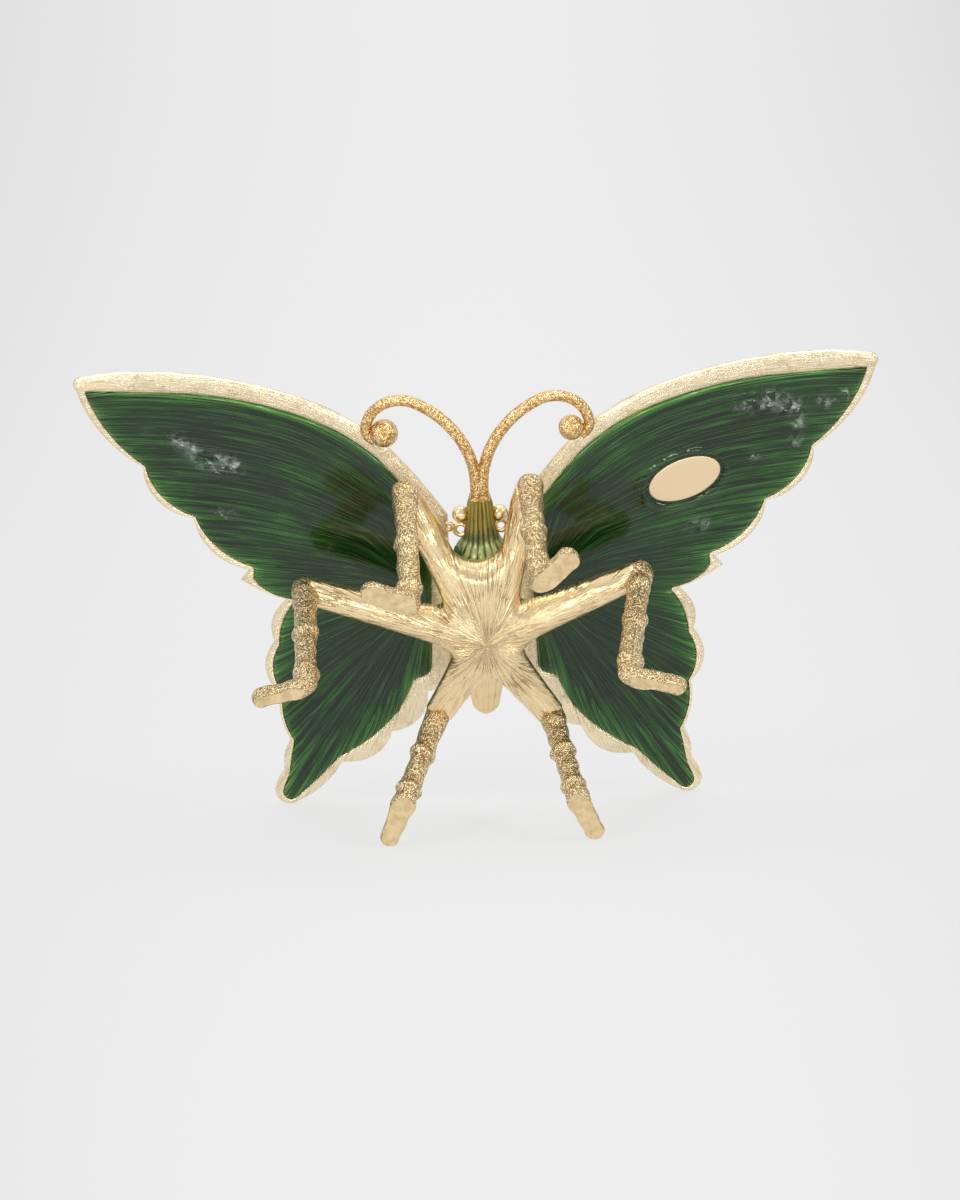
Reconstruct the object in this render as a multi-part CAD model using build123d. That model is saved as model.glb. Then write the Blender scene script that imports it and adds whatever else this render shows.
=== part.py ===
# Butterfly ornament: cast and gilded metal with enamelled wings, standing on two legs and two wing tails.
# Lengths are in millimetres and angles in degrees. The butterfly is first worked out square to its wings:
# X runs across the wings, Z towards the head, and Y towards the wings' upper faces, with the belly at -Y.
# Left is the side that is on the left when the belly is looked at. At the end the whole is leant forward
# until its wing tails and its rear toes all touch the surface that it stands on.

from build123d import *
from math import asin, atan2, cos, degrees, hypot, radians, sin, tan
import os

# Pair of wings
wing_reach = 69.0              # middle plane to the forewing's tip
forewing_rise = 42.8           # middle of the body to the leading edge's highest point
hindwing_drop = 41.2           # middle of the body to the end of the tail
wing_hollow_radius = 260.0     # sphere that the hollow underside follows
hollow_level = 8.0             # height of that sphere's centre
root_slope = 15.0              # how steeply the wings rise from the body
wing_thickness = 2.2
root_gap = 5.6                 # middle plane to the wing's inner edge
tongue_depth = 1.6             # how far the wing's tongue reaches into the body
tongue_top = 5.0
tongue_bottom = 7.0

# Enamel
rim_width = 1.4                # bare metal round the enamel
leading_band_down = 3.4        # bare band along the leading edge
leading_band_in = 1.5
enamel_depth = 0.6             # hollow in the underside that holds the enamel
enamel_crown = 0.12            # how far the enamel stands proud of the metal
cell_depth = 0.5               # cells in the upper face
vein_root_width = 1.5
vein_end_width = 0.8
cross_vein_width = 0.8
enamel_gap = 0.04              # all round each piece of enamel
setting_rim = 0.3              # bare metal round a stone's setting

# Bare oval plate in the right wing's underside
plate_half_length = 6.55
plate_half_height = 3.9
plate_turn = 20.0
plate_moat = 0.5
plate_crown = 0.2
plate_across = 35.8
plate_height = 19.3

# Stones
wing_stone_radius = 1.15
thorax_stone_radius = 1.5
collar_stone_radius = 1.0
eye_stone_radius = 0.95
stone_wall = 0.35              # metal round a stone
stone_gap = 0.03
setting_height = 0.5           # how far a wing stone's setting stands up

# Body
thorax_radius = 6.2
thorax_top = 9.0
abdomen_length = 22.8
body_lift = 0.6                # body axis above the wing root line
seat_gap = 0.05                # between soldered pieces

# Head
head_height = 14.4
collar_radius = 4.9
collar_foot_radius = 3.9
head_peg_radius = 1.5
head_peg_length = 2.5
flute_count = 14
flute_radius = 0.45
flute_foot = 4.5               # flutes run between these heights over the neck
flute_top = 13.0
eye_radius = 1.5
eye_spread = 3.4
eye_level = 17.0

# Antennae
antenna_radius = 1.0
antenna_spread = 1.4           # half the distance between the two roots
antenna_rise = 38.9            # highest point of the curve
antenna_root = 20.6
antenna_forward = 1.0          # how far the roots lie towards the belly
bead_radius = 2.4

# Belly frame: hub and six thighs
hub_half_thickness = 3.35
hub_radius = 9.5
hub_across = 0.8
hub_level = -1.0
web_radius = 4.5               # rounding between two thighs
thigh_start = 2.0              # thighs begin this far from the hub's middle
thigh_root_radius = 3.1
thigh_end_radius = 2.4
thigh_set_back = 1.0           # thigh's end face to the middle of the knee
post_radius = 2.0              # post that joins the hub to the body
post_length = 2.4

# Lower legs
knee_depth = 4.0               # wing root line to the front and middle knees
rear_knee_depth = 9.0
knee_radius = 2.3
shin_radius = 1.95
ankle_radius = 1.9
knot_radius = 2.35
foot_radius = 2.1
middle_foot_radius = 1.8
toe_radius = 2.0
middle_toe_radius = 1.65
rear_toe_radius = 1.75
knee_peg_radius = 0.9
knee_peg_length = 4.6
stance_depth = 31.1            # wing root line to the plane of the six soles
sole_tilt = 6.0                # of that plane against the wings
front_sole_height = 0.8        # foot's axis above its sole
middle_sole_height = 1.35
rear_sole_height = 0.75

# Leading edge of the forewing from root to tip: ends of its smooth run of arcs, as shares of reach and rise
leading_root_share = 0.371
leading_root_bulge_share = 0.018
leading_edge_shares = [(0.217, 0.654), (0.406, 0.860), (0.725, 0.986), (0.990, 0.979)]
# Outer edge of the forewing in arcs: where each ends, and its rise as a share of its chord
forewing_edge_shares = [
    (1.000, 0.923, 0.30),
    (0.846, 0.556, 0.10),
    (0.727, 0.318, 0.21),
    (0.593, 0.079, 0.18),
    (0.616, 0.028, -0.05),
]
# The same for the hindwing, with heights as shares of its drop
hindwing_edge_shares = [
    (0.490, -0.063, 0.03),
    (0.536, -0.267, 0.22),
    (0.530, -0.498, 0.24),
    (0.506, -0.718, 0.10),
    (0.526, -0.871, 0.16),
    (0.555, -0.937, 0.20),
    (0.506, -1.000, 0.30),
    (0.378, -0.806, 0.09),
    (0.247, -0.658, 0.20),
    (0.148, -0.459, 0.20),
]
trailing_root_share = -0.316
trailing_root_bulge_share = 0.20
tail_tip_share = 0.520         # across to the tail's lowest point

# Upper face: where the veins start and end, as shares of the reach and of the rise or the drop
forewing_vein_root_share = 0.19
hindwing_vein_root_share = -0.07
forewing_vein_shares = [(0.56, 0.97), (0.96, 0.96), (0.846, 0.556), (0.727, 0.318), (0.600, 0.060)]
parting_vein_shares = (0.490, -0.063)
hindwing_vein_shares = [(0.536, -0.267), (0.530, -0.498), (0.526, -0.871), (0.378, -0.806), (0.247, -0.658)]
cross_vein_share = 0.70        # how far out along the veins the cross veins and the stones lie

# Body from the abdomen's end to the neck: shares of the thorax's radius, and of the length or the top.
# At the neck its side leans in by a share of its rise.
neck_lean_share = 0.3
body_profile_shares = [
    (0.395, -0.904),
    (0.597, -0.658),
    (0.790, -0.373),
    (0.968, -0.088),
    (0.984, 0.222),
    (0.806, 0.722),
    (0.645, 1.000),
]
# Stones along the back: shares of the way along that profile, and of the largest stone's radius
back_stone_shares = [(0.24, 0.50), (0.37, 0.60), (0.50, 0.75), (0.645, 1.00), (0.79, 0.85), (0.91, 0.65)]
# Head: where the collar is widest and where the neck begins, as shares of its height
collar_wide_share = 0.12
neck_start_share = 0.47
neck_radius_share = 0.62       # of the collar's radius
collar_stone_share = 0.13      # of the head's height
collar_stone_turn = 62.0
eye_stone_turn = 40.0

# Round stone: its depth under the girdle, the girdle's slope, the table and the crown, as shares of its radius
stone_depth_share = 0.75
stone_girdle_share = 0.12
stone_table_share = 0.60
stone_crown_share = 0.32

# Antenna from root to curl: shares of its reach and its rise. The bead's middle lies off the forewing's
# leading edge by a share of the bead's radius, seen square to the wings.
bead_off_share = 0.885
antenna_bow_shares = (0.165, 0.812)
antenna_crown_shares = (0.541, 0.979)
antenna_turn_shares = (1.000, 0.864)
antenna_end_shares = (0.923, 0.794)
bead_shares = (0.840, 0.830)

# Knee, ankle and toe of each leg: across as shares of the reach, up as shares of the rise
leg_shares = {
    "front_left": ((-0.186, 0.547), (-0.177, 0.385), (-0.268, 0.446)),
    "front_right": ((0.126, 0.556), (0.139, 0.462), (0.207, 0.573)),
    "middle_left": ((-0.447, 0.121), (-0.440, 0.004), (-0.552, -0.040)),
    "middle_right": ((0.397, 0.150), (0.350, 0.009), (0.470, -0.041)),
    "rear_left": ((-0.123, -0.410), (-0.213, -0.568), (-0.252, -0.732)),
    "rear_right": ((0.166, -0.430), (0.219, -0.568), (0.262, -0.732)),
}
knot_shares = (0.46, 0.86)     # knots along each shin
knot_half_share = 0.075

# Room to spare for cuts
cut_over = 40.0


# Wings

def wing_point(across_share, height_share):
    height = forewing_rise if height_share > 0 else hindwing_drop
    return Vector(wing_reach * across_share, height * height_share)


def edge_arc(start, end, bulge_share):
    chord = end - start
    outward = Vector(-chord.Y, chord.X) * bulge_share
    return ThreePointArc(start, (start + end) / 2 + outward, end)


def draw_wing():
    # The right wing seen square on, with the tongue that goes into the body
    root_top = Vector(root_gap, forewing_rise * leading_root_share)
    root_bottom = Vector(root_gap, hindwing_drop * trailing_root_share)
    leading = [wing_point(*shares) for shares in leading_edge_shares]
    edges = [edge_arc(root_top, leading[0], leading_root_bulge_share)]
    for end in leading[1:]:
        edges.append(TangentArc(edges[-1] @ 1, end, tangent=edges[-1] % 1))
    start = leading[-1]
    for across, height, bulge in forewing_edge_shares + hindwing_edge_shares:
        end = wing_point(across, height)
        edges.append(edge_arc(start, end, bulge))
        start = end
    edges.append(edge_arc(start, root_bottom, trailing_root_bulge_share))
    edges.append(
        Polyline(
            root_bottom,
            (root_gap, -tongue_bottom),
            (root_gap - tongue_depth, -tongue_bottom),
            (root_gap - tongue_depth, tongue_top),
            (root_gap, tongue_top),
            root_top,
        )
    )
    return make_face(Curve() + edges)


def hollow_centre():
    slope = radians(root_slope)
    return Vector(wing_hollow_radius * sin(slope), -wing_hollow_radius * cos(slope), hollow_level)


def face_depth(across, height, lift):
    # Y, at a place on the outline, of the sphere that lies this far over the hollow underside
    centre = hollow_centre()
    radius = wing_hollow_radius + lift
    return centre.Y + (radius**2 - (across - centre.X) ** 2 - (height - centre.Z) ** 2) ** 0.5


def wing_layer(face, low, high):
    # The part of the wing under a flat face, between two heights over the hollow underside
    block = extrude(Plane.XZ.offset(-cut_over) * face, amount=2 * cut_over, dir=(0, -1, 0))
    place = Pos(hollow_centre())
    return (block & place * Sphere(wing_hollow_radius + high)) - place * Sphere(wing_hollow_radius + low)


def enamel_field(outline, gap):
    # Inside of the rim, of the wider band along the leading edge and of the bare root
    inside = offset(outline, amount=-(rim_width + gap))
    lowered = Pos(leading_band_in, -leading_band_down) * offset(outline, amount=-gap)
    root = Pos(root_gap + rim_width + gap - cut_over, 0) * Rectangle(2 * cut_over, 4 * cut_over)
    return (inside & lowered) - root


def plate_oval(grow):
    oval = Ellipse(plate_half_length + grow, plate_half_height + grow)
    return Pos(plate_across, plate_height) * Rot(0, 0, plate_turn) * oval


def strip(start, end, start_width, end_width):
    along = (end - start).normalized()
    side = Vector(-along.Y, along.X)
    corners = [
        start + side * start_width / 2,
        end + side * end_width / 2,
        end - side * end_width / 2,
        start - side * start_width / 2,
    ]
    return make_face(Polyline(*corners, close=True))


def vein_roots():
    fore = Vector(root_gap, forewing_rise * forewing_vein_root_share)
    hind = Vector(root_gap, hindwing_drop * hindwing_vein_root_share)
    return fore, hind


def vein_ends():
    parting = wing_point(*parting_vein_shares)
    fore = [wing_point(*shares) for shares in forewing_vein_shares] + [parting]
    hind = [parting] + [wing_point(*shares) for shares in hindwing_vein_shares]
    return fore, hind


def vein_faces(root, ends, gap):
    faces = [strip(root, end, vein_root_width + 2 * gap, vein_end_width + 2 * gap) for end in ends]
    for first, second in zip(ends, ends[1:]):
        start = root + (first - root) * cross_vein_share
        finish = root + (second - root) * cross_vein_share
        faces.append(strip(start, finish, cross_vein_width + 2 * gap, cross_vein_width + 2 * gap))
    return faces


def stone_places():
    # Places on the outline of the wing stones, where cross veins meet veins
    places = []
    for root, ends in zip(vein_roots(), vein_ends()):
        places += [root + (end - root) * cross_vein_share for end in ends[1:-1]]
    return places


def setting_radius():
    return wing_stone_radius + stone_gap + stone_wall


def draw_cells(outline, gap):
    # Enamelled cells of the upper face: the forewing's and the hindwing's
    field = enamel_field(outline, gap)
    for root, ends in zip(vein_roots(), vein_ends()):
        for face in vein_faces(root, ends, gap):
            field -= face
    for place in stone_places():
        field -= Pos(place) * Circle(setting_radius() + setting_rim + gap)
    root = vein_roots()[0]
    parting = wing_point(*parting_vein_shares) - root
    fore, hind = [], []
    for face in field.faces():
        middle = face.center() - root
        above = parting.X * middle.Y - parting.Y * middle.X > 0
        group = fore if above else hind
        group.append(face)
    return fore, hind


def wing_surface(place, lift):
    # A plane square to the wing's upper face over a place on the outline
    foot = Vector(place.X, face_depth(place.X, place.Y, wing_thickness), place.Y)
    outward = (foot - hollow_centre()).normalized()
    return Plane(origin=foot + outward * lift, z_dir=outward)


def make_wing(outline):
    metal = wing_layer(outline, 0, wing_thickness)
    metal -= wing_layer(enamel_field(outline, 0), -enamel_depth, enamel_depth)
    for group in draw_cells(outline, 0):
        for face in group:
            metal -= wing_layer(face, wing_thickness - cell_depth, wing_thickness + cell_depth)
    for place in stone_places():
        metal += wing_surface(place, 0) * Cylinder(setting_radius(), 2 * setting_height)
        metal -= wing_surface(place, setting_height) * stone_seat(wing_stone_radius)
    return metal


def make_wing_stones():
    places = [wing_surface(place, setting_height) for place in stone_places()]
    return [place * make_stone(wing_stone_radius, 0) for place in places]


def make_underside_enamel(outline):
    return wing_layer(enamel_field(outline, enamel_gap), -enamel_crown, enamel_depth - enamel_gap)


def make_cell_enamel(faces):
    low, high = wing_thickness - cell_depth + enamel_gap, wing_thickness + enamel_crown
    return [wing_layer(face, low, high) for face in faces]


# Stones

def make_stone(radius, gap):
    # A round stone with its girdle at the origin: a flat table above and a point below
    girdle = radius + gap
    crown = stone_crown_share * radius
    profile = Polyline(
        (0, -stone_depth_share * radius - gap),
        (girdle, -stone_girdle_share * radius - gap),
        (girdle, 0),
        (stone_table_share * girdle, crown),
        (0, crown),
        close=True,
    )
    return revolve(Plane.XZ * make_face(profile), axis=Axis.Z)


def stone_seat(radius):
    # The cut that a stone sits in, open upwards
    mouth = Pos(0, 0, radius) * Cylinder(radius + stone_gap, 2 * radius)
    return make_stone(radius, stone_gap) + mouth


# Legs

def turned(start, end, steps, round_start=True, round_end=True):
    # A round bar from start to end. Steps give its radius at shares of the way.
    length = (end - start).length
    first, last = steps[0][1], steps[-1][1]
    low = -first if round_start else 0
    high = length + last if round_end else length
    edges = [Polyline(*[(radius, length * share) for share, radius in steps])]
    if round_start:
        edges.append(TangentArc((first, 0), (0, low), tangent=(0, -1)))
    else:
        edges.append(Line((0, 0), (first, 0)))
    if round_end:
        edges.append(TangentArc((last, length), (0, high), tangent=(0, 1)))
    else:
        edges.append(Line((last, length), (0, length)))
    edges.append(Line((0, high), (0, low)))
    bar = revolve(Plane.XZ * make_face(Curve() + edges), axis=Axis.Z)
    return Plane(origin=start, z_dir=end - start) * bar


def sole_level(height):
    # Y of the plane of the soles at a height over the wing root line
    return -(stance_depth + tan(radians(sole_tilt)) * height)


def leg_sizes(name):
    # Depth of the knee, radii of heel and toe, and height of the foot's axis over its sole
    if name.startswith("front"):
        return knee_depth, foot_radius, toe_radius, front_sole_height
    if name.startswith("middle"):
        return knee_depth, middle_foot_radius, middle_toe_radius, middle_sole_height
    return rear_knee_depth, foot_radius, rear_toe_radius, rear_sole_height


def leg_points(name):
    depth, heel, toe, sole_height = leg_sizes(name)
    knee, ankle, tip = [Vector(wing_reach * across, forewing_rise * up) for across, up in leg_shares[name]]
    return (
        Vector(knee.X, -depth, knee.Y),
        Vector(ankle.X, sole_level(ankle.Y) + sole_height, ankle.Y),
        Vector(tip.X, sole_level(tip.Y) + sole_height, tip.Y),
    )


def make_shin(name, gap):
    knee, ankle, tip = leg_points(name)
    steps = [(0, knee_radius + gap)]
    for place in knot_shares:
        steps.append((place - knot_half_share, shin_radius + gap))
        steps.append((place - knot_half_share / 3, knot_radius + gap))
        steps.append((place + knot_half_share / 3, knot_radius + gap))
        steps.append((place + knot_half_share, shin_radius + gap))
    steps.append((1, ankle_radius + gap))
    return turned(knee, ankle, steps)


def knee_peg(name, gap):
    knee = leg_points(name)[0]
    length = knee_peg_length + gap
    peg = Pos(0, 0, length / 2) * Cylinder(knee_peg_radius + gap, length)
    return Plane(origin=knee, z_dir=hub_middle() - knee) * peg


def make_lower_leg(name):
    depth, heel, toe, sole_height = leg_sizes(name)
    knee, ankle, tip = leg_points(name)
    foot = Pos(ankle) * Sphere(heel) + turned(ankle, tip, [(0, toe), (1, toe)], False)
    leg = make_shin(name, 0) + foot + knee_peg(name, 0)
    tilt = radians(sole_tilt)
    soles = Plane(origin=(0, sole_level(0), 0), z_dir=(0, -cos(tilt), -sin(tilt)))
    return leg - soles * Pos(0, 0, cut_over) * Box(4 * cut_over, 4 * cut_over, 2 * cut_over)


# Belly frame

def hub_middle():
    back = thorax_radius - body_lift + seat_gap
    return Vector(hub_across, -(back + hub_half_thickness), hub_level)


def make_belly_frame():
    hub = hub_middle()
    middle = Vector(hub.X, hub.Z)
    star = []
    thighs = []
    for name in leg_shares:
        knee = leg_points(name)[0]
        inward = (hub - knee).normalized()
        start, end = hub - inward * thigh_start, knee + inward * thigh_set_back
        thighs.append(turned(start, end, [(0, thigh_root_radius), (1, thigh_end_radius)], False, False))
        star.append(strip(middle, Vector(knee.X, knee.Z), 2 * thigh_root_radius, 2 * thigh_end_radius))
    web = offset(offset(Sketch() + star, amount=web_radius), amount=-web_radius)
    web &= Pos(hub.X, hub.Z) * Circle(hub_radius)
    back = hub.Y + hub_half_thickness
    dome_radius = (hub_radius**2 + (2 * hub_half_thickness) ** 2) / (4 * hub_half_thickness)
    plate = extrude(Plane.XZ.offset(-back) * web, amount=2 * hub_half_thickness, dir=(0, -1, 0))
    plate &= Pos(hub.X, back - 2 * hub_half_thickness + dome_radius, hub.Z) * Sphere(dome_radius)
    frame = plate
    for thigh in thighs:
        frame += thigh
    frame -= Pos(0, body_lift, 0) * Cylinder(thorax_radius + seat_gap, 2 * abdomen_length)
    frame += Pos(hub.X, back, hub.Z) * Rot(90, 0, 0) * Cylinder(post_radius, 2 * post_length)
    for name in leg_shares:
        frame -= make_shin(name, seat_gap) + knee_peg(name, seat_gap)
    return frame


# Body, head and antennae

def body_curve():
    # Side of the body from the abdomen's end to the neck
    points = [Vector(0, -abdomen_length)]
    for across, height in body_profile_shares:
        reach = abdomen_length if height < 0 else thorax_top
        points.append(Vector(thorax_radius * across, reach * height))
    return Spline(*points, tangents=[(1, 0), (-neck_lean_share, 1)])


def back_stones():
    # Places and radii of the stones along the back
    curve = body_curve()
    stones = []
    for along, size in back_stone_shares:
        point, way = curve @ along, curve % along
        radius = thorax_stone_radius * size
        outward = Vector(0, way.Y, -way.X)
        foot = Vector(0, body_lift + point.X, point.Y) - outward * radius**2 / (2 * point.X)
        stones.append((Plane(origin=foot, z_dir=outward), radius))
    return stones


def make_body(wings):
    side = body_curve()
    neck = side @ 1
    face = make_face(Curve() + [side, Polyline(neck, (0, thorax_top), side @ 0)])
    body = Pos(0, body_lift, 0) * revolve(Plane.XZ * face, axis=Axis.Z)
    hub = hub_middle()
    post = Pos(hub.X, hub.Y + hub_half_thickness, hub.Z) * Rot(90, 0, 0)
    body -= post * Cylinder(post_radius + seat_gap, 2 * (post_length + seat_gap))
    body -= Pos(0, 0, thorax_top) * Cylinder(head_peg_radius + seat_gap, 2 * (head_peg_length + seat_gap))
    for wing in wings:
        body -= wing
    for place, radius in back_stones():
        body -= place * stone_seat(radius)
    return body


def head_floor():
    return thorax_top + seat_gap


def collar_stone_planes():
    planes = []
    for side in (-1, 1):
        turn = radians(collar_stone_turn)
        outward = Vector(side * sin(turn), -cos(turn), 0)
        foot = Vector(0, 0, head_floor() + head_height * collar_stone_share)
        sink = collar_stone_radius**2 / (2 * collar_radius)
        planes.append(Plane(origin=foot + outward * (collar_radius - sink), z_dir=outward))
    return planes


def make_head(antennae):
    # A round collar that narrows to a fluted neck with a domed top
    neck = collar_radius * neck_radius_share
    foot = Vector(collar_foot_radius, 0)
    wide = Vector(collar_radius, head_height * collar_wide_share)
    start = Vector(neck, head_height * neck_start_share)
    shoulder = Vector(neck, head_height - neck)
    top = Vector(0, head_height)
    halfway = (wide + start) / 2
    edges = [
        TangentArc(wide, foot, tangent=(0, -1)),
        TangentArc(wide, halfway, tangent=(0, 1)),
        TangentArc(start, halfway, tangent=(0, -1)),
        Line(start, shoulder),
        TangentArc(shoulder, top, tangent=(0, 1)),
        Polyline(top, (0, 0), foot),
    ]
    head = revolve(Plane.XZ * make_face(Curve() + edges), axis=Axis.Z)
    flute = Cylinder(flute_radius, flute_top - flute_foot)
    flute = Pos(neck + flute_radius / 2, 0, (flute_foot + flute_top) / 2) * flute
    for index in range(flute_count):
        head -= Rot(0, 0, 360 * (index + 0.5) / flute_count) * flute
    head += Cylinder(head_peg_radius, 2 * head_peg_length)
    head = Pos(0, 0, head_floor()) * head
    for side in (-1, 1):
        head -= Pos(side * eye_spread, 0, eye_level) * Sphere(eye_radius + seat_gap)
    for place in collar_stone_planes():
        head -= place * stone_seat(collar_stone_radius)
    for antenna in antennae:
        head -= antenna
    return head


def eye_stone_plane():
    turn = radians(eye_stone_turn)
    outward = Vector(cos(turn), sin(turn), 0)
    reach = (eye_radius**2 - (eye_stone_radius + stone_gap) ** 2) ** 0.5
    return Plane(origin=Vector(eye_spread, 0, eye_level) + outward * reach, z_dir=outward)


def make_eye():
    ball = Pos(eye_spread, 0, eye_level) * Sphere(eye_radius)
    return ball - eye_stone_plane() * stone_seat(eye_stone_radius)


def antenna_points(outline):
    # Bow, crown, turn and end of the curve, and the bead's middle, which stands off the leading edge
    level = antenna_rise * bead_shares[1]
    across = Line((0, level), (wing_reach, level))
    clear = across - offset(outline, amount=bead_off_share * bead_radius)
    reach = (clear.edges().sort_by(Axis.X)[0] @ 1).X / bead_shares[0]
    shares = [antenna_bow_shares, antenna_crown_shares, antenna_turn_shares, antenna_end_shares, bead_shares]
    return [Vector(reach * along, antenna_rise * up) for along, up in shares]


def antenna_swing(bead):
    # Turn that brings the bead to rest on the forewing's leading edge
    off = bead_off_share * bead_radius
    depth = face_depth(bead.X, bead.Y, 0) - ((bead_radius + seat_gap) ** 2 - off**2) ** 0.5
    return asin((depth + antenna_forward) / bead.X)


def make_antenna(outline, side, gap):
    # Drawn flat, then stood upright and swung towards the wing on this side: 1 is right and -1 is left
    bow, crown, outside, end, bead = antenna_points(outline)
    swing = degrees(antenna_swing(bead))
    place = Pos(0, -antenna_forward, 0) * Rot(0, 0, 90 - side * (90 - swing)) * Rot(90, 0, 0)
    rise = ThreePointArc(Vector(antenna_spread, antenna_root - gap), bow, crown)
    turn = TangentArc(crown, outside, tangent=rise % 1)
    curl = TangentArc(outside, end, tangent=turn % 1)
    path = rise + turn + curl
    section = Plane(origin=path @ 0, z_dir=path % 0) * Circle(antenna_radius + gap)
    ball = Pos(bead.X, bead.Y) * Rot(90, 0, 0) * Sphere(bead_radius + gap)
    return place * (sweep(section, path=path) + ball)


# Placing

def lean_angle(outline):
    # Lean at which the wing tails and the rear toes stand on one level
    low = outline.bounding_box().min.Y
    tip = leg_points("rear_left")[2]
    back = face_depth(wing_reach * tail_tip_share, low, 0) - tip.Y
    down = low - tip.Z
    return degrees(asin(-rear_toe_radius / hypot(back, down)) - atan2(down, back))


def mirrored(shapes):
    return [mirror(shape, about=Plane.YZ) for shape in shapes]


def make_pieces():
    outline = draw_wing()
    wing = make_wing(outline)
    under = make_underside_enamel(outline)
    fore, hind = [make_cell_enamel(faces) for faces in draw_cells(outline, enamel_gap)]
    stones = make_wing_stones()
    moat = wing_layer(plate_oval(plate_moat), -enamel_depth, enamel_depth)
    slot = wing_layer(offset(outline, amount=seat_gap), -seat_gap, wing_thickness + seat_gap)
    eye = make_eye()
    eye_stone = eye_stone_plane() * make_stone(eye_stone_radius, 0)
    pieces = {
        "right_wing": [wing],
        "left_wing": mirrored([wing]),
        "right_underside_enamel": [under - moat],
        "left_underside_enamel": mirrored([under]),
        "oval_plate": [wing_layer(plate_oval(0), -plate_crown, enamel_depth - enamel_gap)],
        "right_forewing_enamel": fore,
        "left_forewing_enamel": mirrored(fore),
        "right_hindwing_enamel": hind,
        "left_hindwing_enamel": mirrored(hind),
        "right_wing_crystals": stones,
        "left_wing_crystals": mirrored(stones),
        "body": [make_body([slot] + mirrored([slot]))],
        "back_crystals": [place * make_stone(radius, 0) for place, radius in back_stones()],
        "head": [make_head([make_antenna(outline, side, seat_gap) for side in (1, -1)])],
        "collar_crystals": [place * make_stone(collar_stone_radius, 0) for place in collar_stone_planes()],
        "right_eye": [eye],
        "left_eye": mirrored([eye]),
        "eye_crystals": [eye_stone] + mirrored([eye_stone]),
        "right_antenna": [make_antenna(outline, 1, 0)],
        "left_antenna": [make_antenna(outline, -1, 0)],
        "belly_frame": [make_belly_frame()],
    }
    for name in leg_shares:
        pieces[name + "_leg"] = [make_lower_leg(name)]
    return pieces, lean_angle(outline)


def place_pieces(pieces, lean):
    # Leant forward, with the floor under the origin and the origin in the middle of the whole
    leant = {}
    for name, solids in pieces.items():
        leant[name] = [Rot(lean, 0, 0) * solid for solid in solids]
    boxes = [solid.bounding_box() for solids in leant.values() for solid in solids]
    low = min(box.min.Z for box in boxes)
    middle = (min(box.min.Y for box in boxes) + max(box.max.Y for box in boxes)) / 2
    place = Pos(0, -middle, -low)
    return {name: [place * solid for solid in solids] for name, solids in leant.items()}


os.makedirs("parts", exist_ok=True)
flat_pieces, lean = make_pieces()
for name, solids in place_pieces(flat_pieces, lean).items():
    shape = solids[0] if len(solids) == 1 else Compound(children=solids)
    export_step(shape, f"parts/{name}.step")
print("lean", round(lean, 2))
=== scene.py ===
import bpy
import bmesh
import numpy as np
from mathutils import Matrix, Vector


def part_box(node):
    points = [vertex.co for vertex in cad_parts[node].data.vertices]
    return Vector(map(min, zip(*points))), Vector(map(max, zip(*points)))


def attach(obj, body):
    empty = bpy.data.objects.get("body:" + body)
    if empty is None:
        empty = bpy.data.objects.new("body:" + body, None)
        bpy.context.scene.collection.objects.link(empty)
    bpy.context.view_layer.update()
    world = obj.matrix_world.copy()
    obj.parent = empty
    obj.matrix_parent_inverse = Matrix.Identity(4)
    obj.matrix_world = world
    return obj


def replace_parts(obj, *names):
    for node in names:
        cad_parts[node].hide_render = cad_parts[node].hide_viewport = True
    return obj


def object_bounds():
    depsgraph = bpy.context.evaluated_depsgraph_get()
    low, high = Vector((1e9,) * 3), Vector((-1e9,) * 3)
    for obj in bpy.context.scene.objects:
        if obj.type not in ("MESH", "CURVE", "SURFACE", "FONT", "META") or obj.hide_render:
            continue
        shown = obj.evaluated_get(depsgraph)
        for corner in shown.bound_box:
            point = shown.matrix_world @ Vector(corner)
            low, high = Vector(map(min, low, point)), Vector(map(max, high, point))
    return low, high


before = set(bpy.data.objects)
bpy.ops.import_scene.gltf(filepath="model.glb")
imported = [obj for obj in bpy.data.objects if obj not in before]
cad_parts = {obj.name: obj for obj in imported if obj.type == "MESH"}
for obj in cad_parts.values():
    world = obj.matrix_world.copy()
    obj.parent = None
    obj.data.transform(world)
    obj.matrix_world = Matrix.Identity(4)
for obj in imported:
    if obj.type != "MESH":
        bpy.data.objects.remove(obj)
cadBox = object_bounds()
print("frame loaded,", len(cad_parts), "nodes")

# Lengths are in millimetres until a mesh is made. The butterfly's own frame has X across the wings,
# Z towards the head and Y towards the wings' upper faces; the stance turns it and sets it on the floor.
stance = {"lean": 15.79, "eye": (3.4, 0.0, 17.0)}


# The stance's turn and shift, found from where the CAD's right eye is
def findStance():
    lean = np.radians(stance["lean"])
    turn = np.array([[1, 0, 0], [0, np.cos(lean), -np.sin(lean)], [0, np.sin(lean), np.cos(lean)]])
    low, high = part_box("right_eye")
    eye = np.array((low + high) / 2) * 1000
    return turn, eye - turn @ np.array(stance["eye"])


stanceTurn, stanceShift = findStance()


# Points of the butterfly's own frame in the row frame, in metres
def placed(points):
    return (np.asarray(points, float) @ stanceTurn.T + stanceShift) / 1000


# Faces of a grid of rings: each quad joins two neighbours of one ring to the same two of the next
def ringFaces(rings, around):
    i = np.arange(rings - 1)[:, None]
    j = np.arange(around)[None, :]
    k = (j + 1) % around
    quads = np.stack([i * around + j, i * around + k, (i + 1) * around + k, (i + 1) * around + j], -1)
    return quads.reshape(-1, 4)


# Triangles from one ring to a single point
def fanFaces(ring, around, point, flip):
    j = np.arange(around)
    k = (j + 1) % around
    a, b = (k, j) if flip else (j, k)
    return np.stack([ring * around + a, ring * around + b, np.full(around, point)], -1)


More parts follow.
